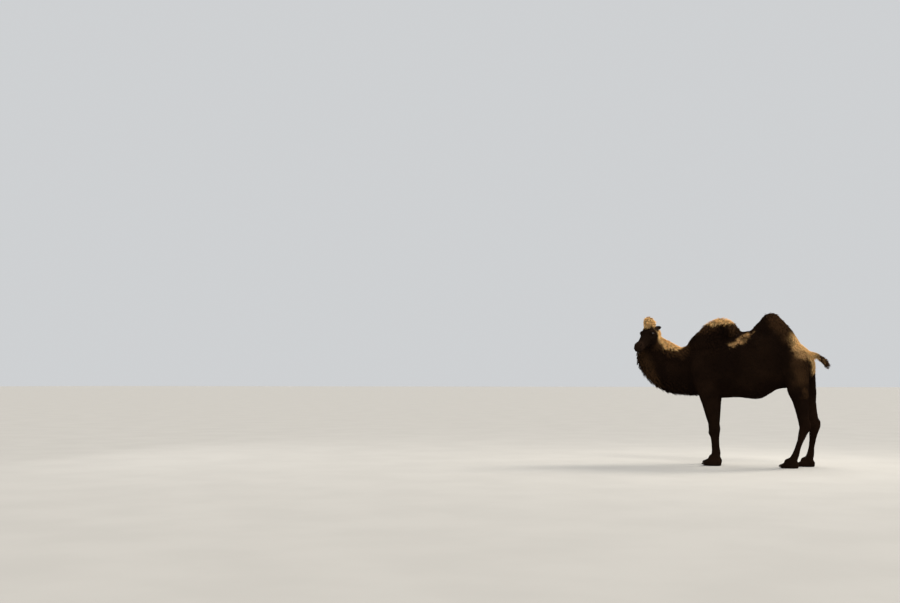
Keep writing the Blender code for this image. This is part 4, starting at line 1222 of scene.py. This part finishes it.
def regionOf(points):
    # which piece of the coat each root belongs to: later ones take from those before them
    onHead = headWeight(points) > 0.5
    x, y, z = points.T
    left = x > middleX
    names = np.where(left, "coatFlankLeft", "coatFlankRight").astype(object)
    names[(z > 1.60) & (y > -0.50) & (y <= 0.20)] = "coatHumpFront"
    names[(z > 1.60) & (y > 0.20)] = "coatHumpRear"
    names[(y > 0.74) & (z > 0.90)] = "coatRump"
    names[(z < 0.93) & (y < 0.20)] = "coatForelegs"
    names[(z < 0.98) & (y > 0.50)] = "coatHindlegs"
    onNeck = (y < -0.50) & (z > 0.80)
    names[onNeck & left] = "coatNeckLeft"
    names[onNeck & ~left] = "coatNeckRight"
    names[onHead] = "coatHead"
    names[onHead & (toHead(points)[:, 2] > 0.012)] = "coatTopknot"
    return names


def unwrapped(chosen):
    # a coarse copy of the chosen part of the skin with its own unwrap, which gives each tuft its place
    copy = placed("unwrap", skin.data.copy())
    activate(copy)
    middles = readNumbers(copy.data.polygons, "center", 3).astype(float)
    copy.data.polygons.foreach_set("select", ~chosen(middles))
    bpy.ops.object.mode_set(mode="EDIT")
    bpy.ops.mesh.delete(type="FACE")
    bpy.ops.object.mode_set(mode="OBJECT")
    applied(copy, "DECIMATE", ratio=min(1.0, coatSettings["unwrapFaces"] / len(copy.data.polygons)))
    bpy.ops.object.mode_set(mode="EDIT")
    bpy.ops.mesh.select_all(action="SELECT")
    bpy.ops.uv.smart_project(angle_limit=math.radians(72), island_margin=0.006)
    bpy.ops.object.mode_set(mode="OBJECT")
    return copy


def patchPlaces(copy, roots):
    # each root's place on the unwrap
    mesh = copy.data
    faces = triangles(mesh)
    loops = readNumbers(mesh.loop_triangles, "loops", 3, np.int32)
    uv = readNumbers(mesh.uv_layers.active.data, "uv", 2).astype(float)
    points = readPoints(mesh)
    tree = BVHTree.FromPolygons([tuple(p) for p in points], [tuple(f) for f in faces.tolist()])
    found = [tree.find_nearest(tuple(root)) for root in roots]
    nearest = np.array([tuple(hit[0]) for hit in found])
    index = np.array([hit[2] for hit in found])
    a, b, c = (points[faces[index, i]] for i in range(3))
    whole = np.cross(b - a, c - a)
    size = np.maximum(dots(whole, whole), 1e-18)
    shareB = dots(np.cross(nearest - a, c - a), whole) / size
    shareC = dots(np.cross(b - a, nearest - a), whole) / size
    share = np.clip(np.column_stack([1 - shareB - shareC, shareB, shareC]), 0, 1)
    share /= share.sum(axis=1, keepdims=True)
    bpy.data.objects.remove(copy)
    return (uv[loops[index]] * share[:, :, None]).sum(axis=1)


def makeCoatPiece(name, groups):
    # groups: the built tufts and what belongs to them
    joined = {key: [] for key in ("verts", "faces", "along", "across", "roots", "tone", "wool", "patch")}
    start = 0
    for (verts, faces, along, across, each), tufts in groups:
        joined["faces"].append(faces + start)
        start += len(verts)
        for key, value in (("verts", verts), ("along", along), ("across", across)):
            joined[key].append(value)
        for key in ("roots", "tone", "wool", "patch"):
            joined[key].append(np.repeat(tufts[key], each, axis=0))
    joined = {key: np.concatenate(value) for key, value in joined.items()}
    faces = joined["faces"]
    mesh = bpy.data.meshes.new(name)
    mesh.vertices.add(start)
    mesh.vertices.foreach_set("co", joined["verts"].astype(np.float32).ravel())
    mesh.loops.add(faces.size)
    mesh.loops.foreach_set("vertex_index", faces.astype(np.int32).ravel())
    mesh.polygons.add(len(faces))
    mesh.polygons.foreach_set("loop_start", np.arange(0, faces.size, 3, dtype=np.int32))
    mesh.polygons.foreach_set("use_smooth", np.ones(len(faces), bool))
    mesh.update(calc_edges=True)
    uv = joined["patch"] + np.column_stack([joined["along"] - 0.5, joined["across"]]) * coatSettings["patch"]
    layer = mesh.uv_layers.new(name="OFBake")
    layer.data.foreach_set("uv", uv[faces.ravel()].astype(np.float32).ravel())
    numbers = np.column_stack([joined[key] for key in ("along", "across", "tone")])
    setAttribute(mesh, "rootPlace", "FLOAT_VECTOR", joined["roots"])
    setAttribute(mesh, "tuft", "FLOAT_VECTOR", numbers)
    setAttribute(mesh, "wool", "FLOAT", joined["wool"])
    mesh.materials.append(coatMaterial)
    piece = placed(name, mesh)
    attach(piece, "root")
    print(name, len(faces))
    return len(faces)


lashSettings = {
    "upper": 62,
    "lower": 30,
    "upperLength": 0.021,
    "lowerLength": 0.009,
    "along": (-0.93, 0.88),  # of the lid's half width
    "aboveEdge": 0.05,
    "stray": 0.012,
    "girth": 0.42,
    "rings": 3,
}


def makeLashes(rng):
    # rows of lashes on the edges of the lids: roots, the ways they bend up and their fields
    roots, ways, fields = [], [], []
    for side in (1, -1):
        middle, out, front, up = eyeAxes(side)
        for rim, count in (("upper", lashSettings["upper"]), ("lower", lashSettings["lower"])):
            lift = 1 if rim == "upper" else -1
            across = np.linspace(*lashSettings["along"], count) * face["halfWide"]
            across = across + rng.normal(0, lashSettings["stray"], count)
            edge = face[rim] * (1 - (across / face["halfWide"]) ** 2) + lashSettings["aboveEdge"]
            height = lift * (edge + rng.normal(0, lashSettings["stray"], count))
            ray = unit(out + np.tan(across)[:, None] * front + np.tan(height)[:, None] * up)
            bend = unit(up * lift - ray * (ray @ up * lift)[:, None])
            lie = unit(ray * 0.8 + bend * 0.15 + rng.normal(0, 0.05, (count, 3)) - front * 0.35)
            long = lashSettings[rim + "Length"] * (0.6 + 0.4 * np.sin(np.linspace(0.25, 2.9, count)))
            roots.append(fromHead(middle + ray * (face["eyeRadius"] + 0.0022)))
            ways.append(turnFromHead(bend))
            rest = np.column_stack([long, long * 0, np.full(count, 0.9), long * 0])
            fields.append(np.column_stack([turnFromHead(lie), rest]))
    return np.concatenate(roots), np.concatenate(ways), np.concatenate(fields)


def growCoat():
    rng = np.random.default_rng(coatSettings["seed"])
    roots, ways = sampleRoots(rng)
    fields = coatAt(roots)
    middles, lock = makeLocks(rng, roots, fields[:, 3])
    perLock = rng.random((lock.max() + 1, 7))
    lashes = makeLashes(rng)
    count = len(lashes[0])
    isLash = np.arange(len(roots) + count) >= len(roots)
    random = np.concatenate([perLock[lock], rng.random((count, 7))])
    toMiddle = np.concatenate([middles - roots, np.zeros((count, 3))])
    roots, ways, fields = (np.concatenate(pair) for pair in zip((roots, ways, fields), lashes))
    length = fields[:, 3]
    tufts = {"roots": roots, "ways": ways, "fields": fields, "toMiddle": toMiddle, "random": random}
    tufts["girth"] = np.where(isLash, lashSettings["girth"], 1)
    tufts["tone"] = np.where(isLash, 1, random[:, 6] * 0.6 + rng.random(len(roots)) * 0.4)
    tufts["wool"] = woolShare(length)
    rings = 1 + (length > coatSettings["twoRingsFrom"]) + (length > coatSettings["threeRingsFrom"])
    rings = np.where(isLash, lashSettings["rings"], rings)
    names = regionOf(roots)
    rings = np.where(names == "coatTopknot", coatSettings["topknotRings"], rings)
    triangleCount = {region: 6 * rings[names == region].sum() for region in sorted(set(names))}
    limit = coatSettings["most"]
    while sum(min(limit, each) for each in triangleCount.values()) > coatSettings["all"]:
        limit -= 1000
    total = 0
    for region, expected in triangleCount.items():
        here = np.flatnonzero(names == region)
        here = here[(rng.random(len(here)) < limit / expected) | isLash[here]]
        places = np.zeros((len(roots), 2))
        places[here] = patchPlaces(unwrapped(lambda middles: regionOf(middles) == region), roots[here])
        groups = []
        for kind in sorted(set(rings[here])):
            chosen = here[rings[here] == kind]
            part = {key: value[chosen] for key, value in tufts.items()}
            part["patch"] = places[chosen]
            groups.append((buildTufts(rng, part, kind), part))
        woolly = region in ("coatHumpFront", "coatTopknot")
        total += makeCoatPiece(region, groups)
    print("coat triangles", total)


growCoat()

# floor, lights and camera
stageSettings = {
    "floor": 600.0,
    "floorColour": (0.46, 0.450, 0.430),
    "air": (0.86, 0.88, 0.90),
    "airStrength": 0.72,
    "aim": (0, 0, 1.1),
}
lampSettings = {
    "sun": {"place": (-6.5, 5.5, 7.5), "angle": 22.0, "power": 2.5, "colour": (1.0, 0.92, 0.80)},
    "top": {"place": (-0.9, 0.4, 4.0), "size": 2.4, "power": 95, "colour": (1.0, 0.93, 0.82)},
    "near": {"place": (6.5, 5.5, 9.5), "angle": 20.0, "power": 1.2, "colour": (1.0, 0.93, 0.82)},
    "front": {"place": (2.0, -8.5, 4.0), "size": 5.0, "power": 60, "colour": (1.0, 0.97, 0.93)},
}
cameraSettings = {
    "place": (14.923, 3.252, 1.10),
    "heading": 206.53,
    "rise": 4.24,
    "lens": 44.0,
    "sensor": 36.0,
    "sees": 1000,
}


def makeStage():
    deselect()
    bpy.ops.mesh.primitive_plane_add(size=stageSettings["floor"], location=(0, 0, 0))
    floor = bpy.context.object
    floor.name = "floor"
    made, shader, start = newMaterial("paleFloor")
    place = start.node("TexCoord", output=3)
    grain = place.noise(1.2, 5.0)
    low = tuple(0.95 * part for part in stageSettings["floorColour"])
    plug(shader, "Base Color", grain.between(0.3, 0.7).over((*low, 1), (*stageSettings["floorColour"], 1)))
    plug(shader, "Roughness", 0.9)
    floor.data.materials.append(made)
    bpy.context.scene.view_settings.view_transform = "Standard"
    world = bpy.data.worlds.new("air")
    bpy.context.scene.world = world
    world.use_nodes = True
    plug(world.node_tree.nodes["Background"], "Color", (*stageSettings["air"], 1))
    plug(world.node_tree.nodes["Background"], "Strength", stageSettings["airStrength"])
    for name, lamp in lampSettings.items():
        data = bpy.data.lights.new(name, "AREA" if "size" in lamp else "SUN")
        data.energy, data.color = lamp["power"], lamp["colour"]
        if "size" in lamp:
            data.size = lamp["size"]
        else:
            data.angle = math.radians(lamp["angle"])
        light = placed(name, data)
        light.location = lamp["place"]
        aim = Vector(stageSettings["aim"]) - Vector(lamp["place"])
        light.rotation_euler = aim.to_track_quat("-Z", "Y").to_euler()
        light.visible_camera = False


def makeCamera():
    data = bpy.data.cameras.new("view")
    data.lens, data.sensor_width = cameraSettings["lens"], cameraSettings["sensor"]
    data.clip_end = cameraSettings["sees"]
    camera = placed("view", data)
    camera.location = cameraSettings["place"]
    heading, rise = math.radians(cameraSettings["heading"]), math.radians(cameraSettings["rise"])
    aim = Vector((math.cos(heading) * math.cos(rise), math.sin(heading) * math.cos(rise), math.sin(rise)))
    camera.rotation_euler = aim.to_track_quat("-Z", "Y").to_euler()
    bpy.context.scene.camera = camera


makeStage()
makeCamera()
bpy.context.view_layer.update()
print("stage ready")
